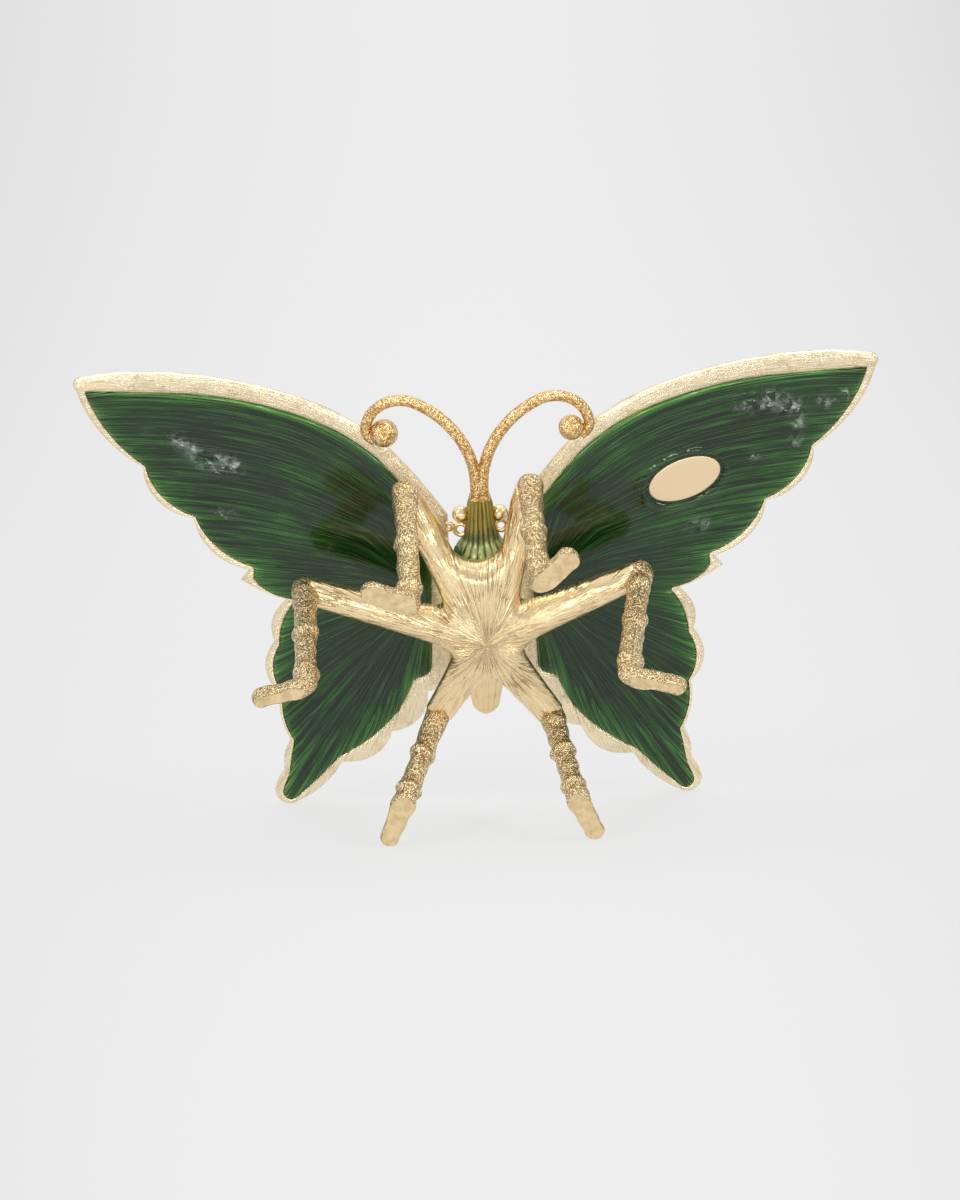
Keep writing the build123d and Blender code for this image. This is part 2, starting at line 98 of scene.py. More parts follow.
# A mesh object from points in the butterfly's frame, with faces, a UV value at each point and named numbers.
# Its points are kept inside the CAD's box
def makePiece(name, points, faces, material, uv, numbers):
    mesh = bpy.data.meshes.new(name)
    spots = np.clip(placed(points), list(cadBox[0]), list(cadBox[1]))
    mesh.from_pydata(spots, [], [face for group in faces for face in group.tolist()])
    mesh.update()
    layer = mesh.uv_layers.new(name="pattern")
    corner = np.zeros(len(mesh.loops), np.int32)
    mesh.loops.foreach_get("vertex_index", corner)
    layer.data.foreach_set("uv", np.asarray(uv, np.float32)[corner].ravel())
    for key, values in numbers.items():
        attribute = mesh.attributes.new(key, "FLOAT", "POINT")
        attribute.data.foreach_set("value", np.asarray(values, np.float32))
    mesh.polygons.foreach_set("use_smooth", np.full(len(mesh.polygons), True))
    work = bmesh.new()
    work.from_mesh(mesh)
    bmesh.ops.recalc_face_normals(work, faces=work.faces)
    work.to_mesh(mesh)
    work.free()
    mesh.materials.append(material)
    piece = bpy.data.objects.new(name, mesh)
    bpy.context.scene.collection.objects.link(piece)
    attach(piece, "root")
    return piece


# A closed shell of rings with a single point at each end; numbers hold a value at each ring point
def makeShell(name, rings, poles, material, uv, numbers=None):
    count, around = rings.shape[:2]
    total = count * around
    points = np.vstack([rings.reshape(-1, 3), poles])
    faces = [ringFaces(count, around), fanFaces(0, around, total, True), fanFaces(count - 1, around, total + 1, False)]
    poleUv = [uv[0].mean(0), uv[-1].mean(0)]
    values = {}
    for key, value in (numbers or {}).items():
        values[key] = np.concatenate([value.ravel(), [value[0].mean(), value[-1].mean()]])
    return makePiece(name, points, faces, material, np.vstack([uv.reshape(-1, 2), poleUv]), values)


# Points of an arc from start to end; its middle stands off the chord by a share of the chord, to the left
def arcPoints(start, end, bulge, count):
    start, end = np.asarray(start, float), np.asarray(end, float)
    share = np.linspace(0, 1, count)[:, None]
    chord = end - start
    length = np.hypot(*chord)
    if abs(bulge) < 1e-4:
        return start + share * chord
    half = 2 * np.arctan(2 * bulge)
    radius = length / (2 * np.sin(half))
    left = np.array([-chord[1], chord[0]]) / length
    centre = (start + end) / 2 - left * radius * np.cos(half)
    angle = half * (1 - 2 * share)
    return centre + radius * (left * np.cos(angle) - chord / length * np.sin(angle))


# Rings of a tube: unit directions square to the path, turned from one side without twisting
def tubeRings(path, side, radius, around):
    tangent = np.gradient(path, axis=0)
    tangent /= np.linalg.norm(tangent, axis=1)[:, None]
    first = np.asarray(side, float) - (tangent @ np.asarray(side, float))[:, None] * tangent
    first /= np.linalg.norm(first, axis=1)[:, None]
    second = np.cross(tangent, first)
    angle = np.linspace(0, 2 * np.pi, around, endpoint=False)
    ring = np.cos(angle)[None, :, None] * first[:, None] + np.sin(angle)[None, :, None] * second[:, None]
    radius = np.broadcast_to(np.asarray(radius).reshape(len(path), -1), (len(path), around))
    return path[:, None] + radius[..., None] * ring, tangent, ring, angle


# Distance along a path at each of its points
def lengthAlong(path):
    return np.concatenate([[0], np.cumsum(np.linalg.norm(np.diff(path, axis=0), axis=1))])


# Smooth step from 0 to 1 between two values
def smoothStep(low, high, x):
    t = np.clip((x - low) / (high - low), 0, 1)
    return t * t * (3 - 2 * t)


# UV of a grid from its two parameters
def gridUv(across, along, shape):
    return np.stack([np.broadcast_to(across, shape), np.broadcast_to(along, shape)], -1)


# The shades are shares of a gold's colour for its grooves and scratches: partly the metal's grain and wear, partly
# painted shade in these hollows
gold = {
    "colour": (0.94, 0.735, 0.43, 1),
    "shade": (0.60, 0.48, 0.36),
    "castShade": (0.84, 0.76, 0.64),
    "scratchShade": (0.38, 0.24, 0.13),
}


class Nodes:
    # A short way to add nodes and links to one material
    def __init__(self, name):
        self.material = bpy.data.materials.new(name)
        self.material.use_nodes = True
        self.tree = self.material.node_tree
        self.shader = self.tree.nodes["Principled BSDF"]

    def add(self, kind, inputs=None, **settings):
        node = self.tree.nodes.new(kind)
        for key, value in settings.items():
            setattr(node, key, value)
        for key, value in (inputs or {}).items():
            self.put(node.inputs[key], value)
        return node

    def put(self, target, value):
        if isinstance(value, bpy.types.NodeSocket):
            self.tree.links.new(value, target)
        else:
            target.default_value = value

    def set(self, **values):
        for key, value in values.items():
            self.put(self.shader.inputs[key.replace("_", " ")], value)

    def math(self, operation, a, b=0.0, c=0.0):
        node = self.tree.nodes.new("ShaderNodeMath")
        node.operation = operation
        for slot, value in enumerate((a, b, c)):
            self.put(node.inputs[slot], value)
        return node.outputs[0]

    # a times b, plus c where it is given
    def scaled(self, a, b, c=None):
        if c is None:
            return self.math("MULTIPLY", a, b)
        return self.math("MULTIPLY_ADD", a, b, c)

    def blend(self, factor, a, b, kind="RGBA"):
        node = self.add("ShaderNodeMix", data_type=kind)
        numbers = {"RGBA": (6, 7, 2), "FLOAT": (2, 3, 0)}[kind]
        self.put(node.inputs[0], factor)
        self.put(node.inputs[numbers[0]], a)
        self.put(node.inputs[numbers[1]], b)
        return node.outputs[numbers[2]]

    def ramp(self, factor, stops):
        node = self.add("ShaderNodeValToRGB", {"Fac": factor})
        elements = node.color_ramp.elements
        while len(elements) < len(stops):
            elements.new(0.5)
        for element, (place, colour) in zip(elements, stops):
            element.position = place
            element.color = colour
        return node.outputs[0]

    def noise(self, vector, scale, detail=2.0, roughness=0.5):
        values = {"Vector": vector, "Scale": scale, "Detail": detail, "Roughness": roughness}
        return self.add("ShaderNodeTexNoise", values).outputs[0]

    def spot(self):
        return self.add("ShaderNodeTexCoord").outputs["Object"]

    def pattern(self, across, along):
        uv = self.add("ShaderNodeUVMap", uv_map="pattern").outputs[0]
        return self.add("ShaderNodeMapping", {"Vector": uv, "Scale": (across, along, 1)}).outputs[0]

    def number(self, name):
        return self.add("ShaderNodeAttribute", attribute_name=name).outputs["Fac"]

    def bump(self, height, distance):
        values = {"Height": height, "Strength": 1.0, "Distance": distance / 1000}
        return self.add("ShaderNodeBump", values).outputs[0]

    # Places shifted a little by a colour noise
    def warped(self, spot, scale, amount):
        warp = self.add("ShaderNodeTexNoise", {"Vector": spot, "Scale": scale, "Detail": 2.0}).outputs[1]
        values = {"Fac": amount, "Color1": spot, "Color2": warp}
        return self.add("ShaderNodeMixRGB", values, blend_type="ADD").outputs[0]

    # From 0 at low to 1 at high
    def between(self, value, low, high, **settings):
        values = {"Value": value, "From Min": low, "From Max": high}
        return self.add("ShaderNodeMapRange", values, **settings).outputs[0]

    # A fifth below low and one above high
    def mask(self, value, low, high):
        return self.ramp(value, [(low, (0.2, 0.2, 0.2, 1)), (high, (1, 1, 1, 1))])

    def vector(self, operation, a, b, output=0):
        return self.add("ShaderNodeVectorMath", {0: a, 1: b}, operation=operation).outputs[output]

    def parts(self, vector):
        return self.add("ShaderNodeSeparateXYZ", {"Vector": vector}).outputs


# The darker tone of a metal colour, for its grooves, where it is partly painted shade
def darker(colour, shares):
    return tuple(a * b for a, b in zip(colour, shares)) + (1,)


# Gold with streaks: the UV runs across the streaks in u and along them in v. The height adds fine streaks,
# a little grain and, for castings, broad dents. Thin scratches lie where a noise is close to its middle value
def streakedGold(name, across, along, depth, colour, roughness, dents, scratches, shade=gold["shade"]):
    n = Nodes(name)
    fine = n.noise(n.pattern(across, along), 1.0, 3.0, 0.62)
    thin = n.noise(n.pattern(across * 2.3, along * 1.4), 1.0, 2.0)
    spot = n.spot()
    broad = n.noise(spot, 190.0, 3.0)
    grain = n.noise(spot, 2600.0, 2.0)
    streak = n.scaled(thin, 0.6, n.scaled(fine, 0.6))
    scratch = n.math("ABSOLUTE", n.math("SUBTRACT", n.noise(n.pattern(across * 1.5, along * 1.1), 1.0, 2.0), 0.5))
    scratch = n.math("MAXIMUM", n.scaled(scratch, -30.0, 1.0), 0.0)
    scratch = n.scaled(n.scaled(scratch, n.mask(broad, 0.42, 0.58)), scratches)
    # darker where the streaks' grooves lie and in the scratches: partly grain and wear, partly painted shade in these
    # hollows
    tone = n.ramp(streak, [(0.44, darker(colour[:3], shade)), (0.57, colour)])
    n.set(Base_Color=n.blend(scratch, tone, darker(colour[:3], gold["scratchShade"])), Metallic=1.0)
    low, high = roughness
    worn = n.scaled(grain, 0.4, n.scaled(broad, 0.6))
    n.set(Roughness=n.scaled(worn, high - low, low))
    height = n.scaled(grain, 0.10, n.scaled(scratch, -0.3, streak))
    height = n.scaled(n.noise(spot, 330.0, 2.0), dents, height)
    n.set(Normal=n.bump(height, depth))
    return n.material


# Hammered gold: rounded cells of a size in mm, and marks given by their count across and along and their depth.
# Where the number "sole" is 1 it is filed flat and smooth
def hammeredGold(name, size, depth, colour, shade, marks, sole):
    n = Nodes(name)
    spot = n.spot()
    moved = n.warped(spot, 700.0, 0.0008)
    cells, finer = [
        n.add("ShaderNodeTexVoronoi", {"Vector": moved, "Scale": count / size}, feature=feature).outputs["Distance"]
        for count, feature in ((1000.0, "SMOOTH_F1"), (2100.0, "F1"))
    ]
    across, along, marksDepth = marks
    marks = n.noise(n.pattern(across, along), 1.0, 3.0, 0.6)
    lumps = n.noise(spot, 420.0, 2.0)
    rough = n.scaled(cells, -1.0, n.scaled(finer, -0.35, n.scaled(marks, marksDepth)))
    rough = n.scaled(lumps, 1.6, rough)
    # darker in the creases between the rounded cells and in the marks' low parts: partly the hatch marks' own tone,
    # partly painted shade in these hollows
    tone = n.scaled(marks, -1.1, n.math("ADD", cells, 0.55))
    tone = n.ramp(tone, [(0.26, colour), (0.56, darker(colour[:3], shade))])
    if not sole:
        n.set(Base_Color=tone, Metallic=1.0, Roughness=0.25, Normal=n.bump(rough, depth))
        return n.material
    filed = n.number("sole")
    smooth = n.scaled(n.noise(spot, 420.0, 3.0), 0.9)
    flat = n.ramp(n.noise(spot, 650.0, 4.0, 0.6), [(0.38, (0.74, 0.56, 0.31, 1)), (0.60, (0.92, 0.72, 0.42, 1))])
    n.set(Base_Color=n.blend(filed, tone, flat), Metallic=1.0, Roughness=n.blend(filed, 0.22, 0.36, "FLOAT"))
    n.set(Normal=n.bump(n.blend(filed, rough, smooth, "FLOAT"), depth))
    return n.material


enamel = {
    "deep": (0.003, 0.014, 0.003, 1),
    "middle": (0.009, 0.042, 0.006, 1),
    "light": (0.050, 0.200, 0.028, 1),
    # the brightest green is for painted glints
    "glint": (0.36, 0.62, 0.14, 1),
    # whitish colour of the painted reflections on the wrinkled gloss
    "foil": (0.66, 0.74, 0.66, 1),
    "lines": 88.0,
    "foldFade": 8.0,            # length over which a fold starts and ends
}


# Glossy enamel over a fan of engraved lines: u counts the lines and v is the distance from the fan's centre in mm.
# The number "border" is 1 at the enamel's edge, where the engraved lines are painted brighter as painted light. Where
# "crinkle" is 1 the gloss is wrinkled into flat shards, each with its own tilt, and some shards are painted whitish as
# painted reflections. Each fold runs along one line of the fan between two distances
def enamelMaterial(name, folds):
    n = Nodes(name)
    coarse = n.noise(n.pattern(enamel["lines"] * 0.45, 0.05), 1.0, 3.0, 0.6)
    fine = n.noise(n.pattern(enamel["lines"], 0.035), 1.0, 2.0, 0.6)
    ridge = n.math("SUBTRACT", 1.0, n.math("ABSOLUTE", n.scaled(fine, 11.0, -5.5)))
    ridge = n.math("POWER", n.math("MAXIMUM", ridge, 0.0), 1.5)
    border = n.number("border")
    spot = n.spot()
    cloud = n.noise(spot, 75.0, 3.0)
    # Brightness of the green: random tone, the engraved lines painted brighter along each line as painted glints, and
    # more so near the border as painted light
    lit = n.scaled(coarse, 0.55, n.scaled(ridge, 0.30, n.scaled(cloud, 0.20, -0.05)))
    lit = n.scaled(n.scaled(border, n.scaled(fine, 1.6, -0.3)), 0.50, lit)
    stops = [(0.32, enamel["deep"]), (0.50, enamel["middle"]), (0.76, enamel["light"]), (1.0, enamel["glint"])]
    moved = n.warped(spot, 500.0, 0.0012)
    shards = n.add("ShaderNodeTexVoronoi", {"Vector": moved, "Scale": 700.0}).outputs
    tilt = n.vector("SUBTRACT", shards["Color"], (0.5, 0.5, 0.5))
    offset = n.vector("SUBTRACT", moved, shards["Position"])
    facet = n.vector("DOT_PRODUCT", offset, tilt, "Value")
    crinkle = n.number("crinkle")
    # some shards in the wrinkled spots are painted whitish: painted reflections of the lamps on the wrinkled gloss
    chance = n.parts(shards["Color"])[0]
    broken = n.mask(n.noise(spot, 1100.0, 3.0, 0.6), 0.40, 0.58)
    paintedGlare = n.scaled(n.math("POWER", chance, 2.5), n.scaled(broken, 0.8))
    paintedGlare = n.scaled(paintedGlare, n.scaled(crinkle, crinkle))
    n.set(Base_Color=n.blend(paintedGlare, n.ramp(lit, stops), enamel["foil"]), Metallic=0.72, Roughness=0.40)
    n.set(Normal=n.bump(n.scaled(fine, 1.2, n.scaled(coarse, 0.4)), 0.34))
    n.set(Coat_Weight=1.0, Coat_Roughness=0.08, Coat_IOR=1.5, Specular_IOR_Level=0.0)
    height = n.scaled(n.scaled(facet, crinkle), 9000.0, n.scaled(n.noise(spot, 120.0, 2.0), 0.35))
    across, distance = n.parts(n.pattern(1, 1))[:2]
    fade = enamel["foldFade"]
    for line, low, high, width in folds:
        off = n.math("DIVIDE", n.math("SUBTRACT", across, line), width)
        hump = n.math("EXPONENT", n.scaled(n.scaled(off, off), -1.0))
        ends = [
            n.between(distance, edge, inner, interpolation_type="SMOOTHSTEP")
            for edge, inner in ((low, low + fade), (high, high - fade))
        ]
        height = n.scaled(n.scaled(hump, n.scaled(*ends)), 1.5, height)
    n.set(Coat_Normal=n.bump(height, 0.16))
    return n.material


# Green glaze on the head: the number "groove" is 1 at the bottom of a flute, and v is the height; the flutes' ends at
# the bottom are painted paler as a painted highlight
def headMaterial(name):
    n = Nodes(name)
    streak = n.noise(n.pattern(6.0, 0.5), 1.0, 3.0, 0.6)
    place = n.parts(n.pattern(1, 1))[1]
    low = n.between(place, 16.0, 13.8)
    # paler and less green at the flutes' ends: painted highlight
    paintedRimHighlight = n.between(place, 12.9, 12.2)
    groove = n.number("groove")
    green = n.scaled(low, 0.70, n.scaled(groove, 1.1, n.scaled(streak, 1.8, -1.2)))
    green = n.scaled(paintedRimHighlight, -0.45, green)
    green = n.math("MINIMUM", n.math("MAXIMUM", green, 0.0), 1.0)
    metal = n.blend(paintedRimHighlight, (0.37, 0.285, 0.07, 1), (0.52, 0.58, 0.28, 1))
    n.set(Base_Color=n.blend(green, metal, (0.012, 0.075, 0.028, 1)), Metallic=0.85, Roughness=0.28)
    n.set(Normal=n.bump(n.scaled(n.noise(n.spot(), 900.0, 2.0), 0.5, streak), 0.14))
    n.set(Coat_Weight=n.scaled(green, 0.9), Coat_Roughness=0.05)
    return n.material


# Clear green stone
def stoneMaterial(name):
    n = Nodes(name)
    n.set(Base_Color=n.ramp(n.noise(n.spot(), 300.0), [(0.3, (0.01, 0.16, 0.06, 1)), (0.7, (0.04, 0.45, 0.18, 1))]))
    n.set(Roughness=0.04, IOR=1.6, Transmission_Weight=0.5)
    return n.material


# Streaks across and along, depth in mm, colour, least and greatest roughness, dents, scratches, shade of the grooves
bandGold = streakedGold(
    "bandGold", 110.0, 0.20, 0.20, (0.97, 0.83, 0.58, 1), (0.18, 0.36), 0.2, 0.45, gold["castShade"])
frameGold = streakedGold(
    "frameGold", 17.0, 0.10, 0.30, (0.96, 0.765, 0.455, 1), (0.18, 0.34), 0.6, 0.9, gold["castShade"])
bodyGold = streakedGold("bodyGold", 14.0, 0.30, 0.10, gold["colour"], (0.22, 0.38), 0.2, 0.45, (0.84, 0.76, 0.66))
plainGold = streakedGold("plainGold", 2.0, 2.0, 0.03, gold["colour"], (0.14, 0.26), 0.1, 0.0)
plateGold = streakedGold(
    "plateGold", 3.0, 3.0, 0.02, (0.93, 0.735, 0.48, 1), (0.36, 0.50), 0.1, 0.0, (0.94, 0.92, 0.88))
legGold = hammeredGold("legGold", 0.33, 0.18, (0.95, 0.785, 0.49, 1), (0.46, 0.38, 0.27), (5.0, 1.1, 1.4), True)
antennaGold = hammeredGold(
    "antennaGold", 0.42, 0.20, (0.98, 0.74, 0.40, 1), (0.60, 0.46, 0.30), (2.0, 1.0, 0.4), False)
leftEnamel = enamelMaterial("leftEnamel", [(0.902, 42.0, 62.0, 0.006)])
rightEnamel = enamelMaterial("rightEnamel", [(0.822, 25.0, 54.0, 0.006), (0.902, 42.0, 66.0, 0.006)])
headGlaze = headMaterial("headGlaze")
stoneGreen = stoneMaterial("stoneGreen")
print("materials made")


# Outline of the right wing in arcs: where each ends, how far it stands off its chord as a share of the chord, the
# width of bare metal at its middle and its end, and the place inside the wing that its end draws in towards
wing = {
    "start": (5.6, 15.88, 2.8, 10.0, 11.5),
    "arcs": [
        (14.97, 27.99, 0.018, 3.0, 3.0, 10.8, 12.8),
        (28.01, 36.81, 0.050, 3.1, 3.3, 11.6, 13.6),
        (50.03, 42.20, 0.035, 3.5, 3.8, 12.4, 13.8),
        (68.31, 41.90, 0.036, 3.9, 2.6, 13.0, 13.4),
        (69.00, 39.50, 0.300, 1.9, 1.5, 13.2, 13.2),
        (58.37, 23.80, 0.100, 1.3, 0.40, 13.8, 12.4),
        (50.16, 13.61, 0.210, 1.4, 0.40, 14.1, 11.2),
        (40.92, 3.38, 0.180, 1.5, 0.9, 14.3, 6.5),
        (42.50, 1.20, -0.050, 1.5, 2.3, 14.3, 4.5),
        (33.81, -2.60, 0.030, 0.50, 0.55, 14.3, 1.0),
        (36.98, -11.00, 0.220, 1.9, 0.75, 14.3, -2.5),
        (36.57, -20.50, 0.240, 1.5, 0.45, 14.2, -5.5),
        (34.91, -29.60, 0.100, 0.55, 0.50, 13.9, -9.5),
        (36.29, -35.90, 0.130, 1.4, 0.7, 13.6, -10.6),
        (38.30, -38.60, 0.100, 1.4, 1.5, 13.4, -11.0),
        (34.91, -41.20, 0.300, 1.2, 0.6, 13.0, -11.2),
        (26.08, -33.20, 0.090, 1.7, 1.1, 12.4, -11.0),
        (17.04, -27.10, 0.200, 3.2, 1.7, 11.6, -10.4),
        (10.21, -18.90, 0.200, 4.0, 3.2, 10.8, -9.4),
        (5.60, -13.02, 0.200, 3.7, 3.8, 10.0, -7.5),
        (5.60, 15.88, 0.000, 3.3, 2.8, 10.0, 11.5),
    ],
    "step": 0.30,               # between points along the outline
    "coarse": 0.9,              # the same, for measuring distances
    "fan": (9.0, 1.5),          # centre of the engraved lines
    "hollow": 260.0,            # radius of the sphere that the underside follows
    "slope": 15.0,
    "level": 8.0,
    "thick": 2.2,
    "depth": 0.6,               # of the enamel's bed
    "swell": 0.42,              # how far the rim is rounded, as a share of its width
}


# The outline as points, with the width of bare metal and the inner place of each
def wingOutline(step):
    start = np.array(wing["start"])
    rows = []
    for x, z, bulge, middle, last, coreX, coreZ in wing["arcs"]:
        end = np.array([x, z, last, coreX, coreZ])
        count = max(5, int(np.ceil(np.hypot(*(end - start)[:2]) / step)) + 1)
        places = arcPoints(start[:2], end[:2], bulge, count)[:-1]
        share = np.linspace(0, 1, count)[:-1, None]
        others = start[2:] + share * (end - start)[2:]
        others[:, :1] += 4 * share * (1 - share) * (middle - (start[2] + last) / 2)
        rows.append(np.hstack([places, others]))
        start = end
    rows = np.vstack(rows)
    return rows[:, :2], rows[:, 2], rows[:, 3:]


outline, widths, core = wingOutline(wing["step"])
coarseOutline, coarseWidths, _ = wingOutline(wing["coarse"])
middle = core.mean(0)


# Distance from places to the nearest part of the outline less the width of bare metal there
def insideBare(places):
    a, b = coarseOutline, np.roll(coarseOutline, -1, axis=0)
    wa, wb = coarseWidths, np.roll(coarseWidths, -1)
    ab = b - a
    flat = places.reshape(-1, 2)
    found = np.empty(len(flat))
    for first in range(0, len(flat), 8000):
        part = flat[first:first + 8000]
        along = np.clip(((part[:, None] - a) * ab).sum(-1) / (ab * ab).sum(-1), 0, 1)
        away = part[:, None] - a - along[..., None] * ab
        found[first:first + 8000] = (np.hypot(away[..., 0], away[..., 1]) - wa - along * (wb - wa)).min(1)
    return found.reshape(places.shape[:-1])


rayShares = np.concatenate([np.linspace(0, 0.15, 50)[:-1], np.linspace(0.15, 1, 60)])
rays = outline[:, None] + rayShares[None, :, None] * (core - outline)[:, None]
rayField = np.maximum.accumulate(insideBare(rays), axis=1)


# Places where the lines from the outline to the inner places reach a value of that distance
def placesAt(level):
    level = np.minimum(np.broadcast_to(level, len(outline)), rayField[:, -1] * 0.96)
    index = np.clip(np.argmax(rayField >= level[:, None], axis=1), 1, len(rayShares) - 1)
    rows = np.arange(len(outline))
    before, after = rayField[rows, index - 1], rayField[rows, index]
    part = np.clip((level - before) / np.maximum(after - before, 1e-6), 0, 1)
    share = rayShares[index - 1] + part * (rayShares[index] - rayShares[index - 1])
    return outline + share[:, None] * (core - outline)


# Y of the sphere that lies this far over the hollow underside, at places given by x and z
def wingDepth(places, lift):
    slope = np.radians(wing["slope"])
    centre = wing["hollow"] * np.array([np.sin(slope), -np.cos(slope)])
    radius = wing["hollow"] + lift
    return centre[1] + np.sqrt(radius**2 - (places[..., 0] - centre[0]) ** 2 - (places[..., 1] - wing["level"]) ** 2)


# Points over the wing: x, depth at that lift, z; side is 1 for the right wing and -1 for the left
def onWing(places, lift, side):
    return np.stack([side * places[..., 0], wingDepth(places, lift), places[..., 1]], -1)


# The fan as UV: u is 1 at the leading edge, 0 straight outwards and negative below; v is the distance
def fanUv(places):
    away = places - np.array(wing["fan"])
    distance = np.hypot(away[..., 0], away[..., 1])
    angle = np.arctan2(away[..., 1], away[..., 0])
    ends = [wing["start"]] + wing["arcs"][:4]
    leading = np.vstack([arcPoints(a[:2], b[:2], b[2], 30) for a, b in zip(ends, ends[1:])])
    leading = leading - np.array(wing["fan"])
    edge = np.interp(distance, np.hypot(*leading.T), np.unwrap(np.arctan2(leading[:, 1], leading[:, 0])))
    return np.stack([np.where(angle > 0, angle / edge, angle / 1.05), distance], -1)


# Wrinkled spots of the enamel's gloss, which also carry whitish painted reflections: place, size and strength
wrinkles = {
    "right": [
        (46.4, 32.9, 1.9, 1.0), (50.4, 34.0, 2.2, 1.0), (54.2, 32.4, 2.2, 1.0), (55.9, 28.8, 1.4, 0.8),
        (55.3, 25.3, 1.3, 0.8), (60.4, 33.0, 1.8, 0.9), (63.7, 34.3, 1.4, 0.9), (37.0, 9.4, 1.4, 0.9),
        (39.0, 10.2, 1.4, 0.9), (48.0, 22.6, 1.0, 0.7),
    ],
    "left": [
        (52.3, 29.3, 1.8, 0.9), (50.2, 27.2, 1.8, 0.9), (48.0, 25.4, 1.9, 0.9), (45.3, 24.9, 2.0, 1.0),
        (42.4, 24.4, 2.0, 0.9), (45.8, 14.9, 1.1, 0.7), (43.4, 14.4, 1.1, 0.7),
    ],
}


# How wrinkled the gloss is: the sum of round spots that fade with the square of the distance
def crinkleAt(places, word):
    total = np.zeros(places.shape[:-1])
    for x, z, size, strength in wrinkles[word]:
        total += strength * np.exp(-((places[..., 0] - x) ** 2 + (places[..., 1] - z) ** 2) / size**2)
    return np.clip(total, 0, 1)


rimShares = (0.0, 0.03, 0.08, 0.16, 0.28, 0.42, 0.58, 0.74, 0.87, 0.95, 1.0)
border = placesAt(0.0)
rimPlaces = [placesAt(-widths * (1 - share)) for share in rimShares]


# Height of the rim's surface: rounded at the outside by a quarter circle, a little crowned, and turned down inside
def rimLift(share):
    radius = np.minimum(wing["swell"] * widths, 0.9)
    out = np.clip(1 - share * widths / radius, 0, 1)
    crown = 0.05 * np.sin(np.pi * share) * np.minimum(widths, 2.5)
    return radius * (1 - np.sqrt(1 - out**2)) - crown + 0.22 * smoothStep(0.86, 1.0, share)


# Metal of one wing: from the bed under the enamel out over the rim, round the edge and over the top
def makeWingMetal(side, word):
    thick = wing["thick"]
    shares = (0, 0.2, 0.4, 0.6, 0.8, 0.95, 1)
    bed = [middle + 0.5 * (core - middle)] + [core + share * (border - core) for share in shares]
    rings = bed + rimPlaces[::-1]
    lifts = [wing["depth"] + 0 * widths] * len(bed) + [rimLift(share) for share in rimShares[::-1]]
    rings += [rimPlaces[1], rimPlaces[2], rimPlaces[3], rimPlaces[5]] + bed[::-1]
    lifts += [lift + 0 * widths for lift in (1.2, 1.6, thick - 0.22, thick)] + [thick - 0.03 + 0 * widths] * len(bed)
    points = np.stack([onWing(ring, lift, side) for ring, lift in zip(rings, lifts)])
    poles = [onWing(middle, lift, side) for lift in (wing["depth"], thick - 0.03)]
    return makeShell(word + "WingMetal", points, poles, bandGold, fanUv(np.stack(rings)))


enamelInside = (0.0, 0.07, 0.14, 0.22, 0.32, 0.45, 0.65, 1.0, 1.5, 2.2, 3.2)


# Height of the enamel's surface at a distance from its edge: an even slope at the edge and a slow rise after it
def enamelLift(inside):
    return 0.14 - 0.30 * (1 - np.exp(-((inside / 0.31) ** 1.6))) - 0.12 * (1 - np.exp(-inside / 2.2))


# The enamel's sheet on the underside: rings inwards from its edge, then on to the middle, and a flat back
def makeUndersideEnamel(side, word, material):
    fullest = np.minimum(1, rayField[:, -1] / (enamelInside[-1] * 1.05))
    edge = [placesAt(gap * fullest + 0.02) for gap in enamelInside]
    inner = [edge[-1] + share * (core - edge[-1]) for share in np.linspace(0, 1, 60)[1:]]
    heart = [core + share * (middle - core) for share in (0.3, 0.6, 0.85)]
    places = np.stack(edge + inner + heart)[::-1]
    inside = [gap * fullest for gap in enamelInside]
    inside += [inside[-1] + 9 * share for share in np.linspace(0, 1, 60)[1:]] + [inside[-1] + 9] * 3
    lifts = [enamelLift(gap) for gap in inside][::-1]
    bed = wing["depth"] - 0.03
    backs = [edge[0] + share * (core - edge[0]) for share in np.linspace(0, 1, 9)] + [heart[1]]
    points = [onWing(ring, lift, side) for ring, lift in zip(places, lifts)]
    points = np.stack(points + [onWing(ring, bed, side) for ring in backs])
    places = np.concatenate([places, backs])
    numbers = {"border": np.exp(-np.clip(insideBare(places), 0, None) / 1.5), "crinkle": crinkleAt(places, word)}
    poles = [onWing(middle, lifts[0][0], side), onWing(middle, bed, side)]
    return makeShell(word + "UndersideSheet", points, poles, material, fanUv(places), numbers)


# The enamel of the upper face, one low sheet that the veins divide
def makeTopEnamel(side, word, material):
    thick = wing["thick"]
    edge = [placesAt(gap + 0.25) for gap in (0.0, 0.12, 0.3, 0.7)]
    inner = [edge[-1] + share * (core - edge[-1]) for share in np.linspace(0, 1, 36)[1:]]
    places = [core, edge[0]] + edge + inner + [core + 0.5 * (middle - core)]
    lifts = [thick - 0.3, thick - 0.3, thick - 0.02, thick + 0.05, thick + 0.10, thick + 0.12] + [thick + 0.12] * 36
    points = np.stack([onWing(ring, lift, side) for ring, lift in zip(places, lifts)])
    places = np.stack(places)
    numbers = {"border": np.exp(-np.clip(insideBare(places), 0, None) / 2.0), "crinkle": np.zeros(places.shape[:-1])}
    poles = [onWing(middle, thick - 0.3, side), onWing(middle, thick + 0.12, side)]
    return makeShell(word + "TopSheet", points, poles, material, fanUv(places), numbers)


veins = {
    "roots": [(5.6, 8.13), (5.6, -2.88)],
    "ends": [
        [(38.64, 41.5), (66.2, 41.1), (58.37, 23.8), (50.16, 13.61), (41.4, 2.57), (33.81, -2.60)],
        [(33.81, -2.60), (36.98, -11.0), (36.57, -20.5), (36.29, -35.9), (26.08, -33.2), (17.04, -27.1)],
    ],
    "cross": 0.70,
    "half": (0.72, 0.42),
    "sunk": 0.25,
    "setting": (1.16, 1.53, 0.50),   # a stone's hole, the setting's outside and its height
}


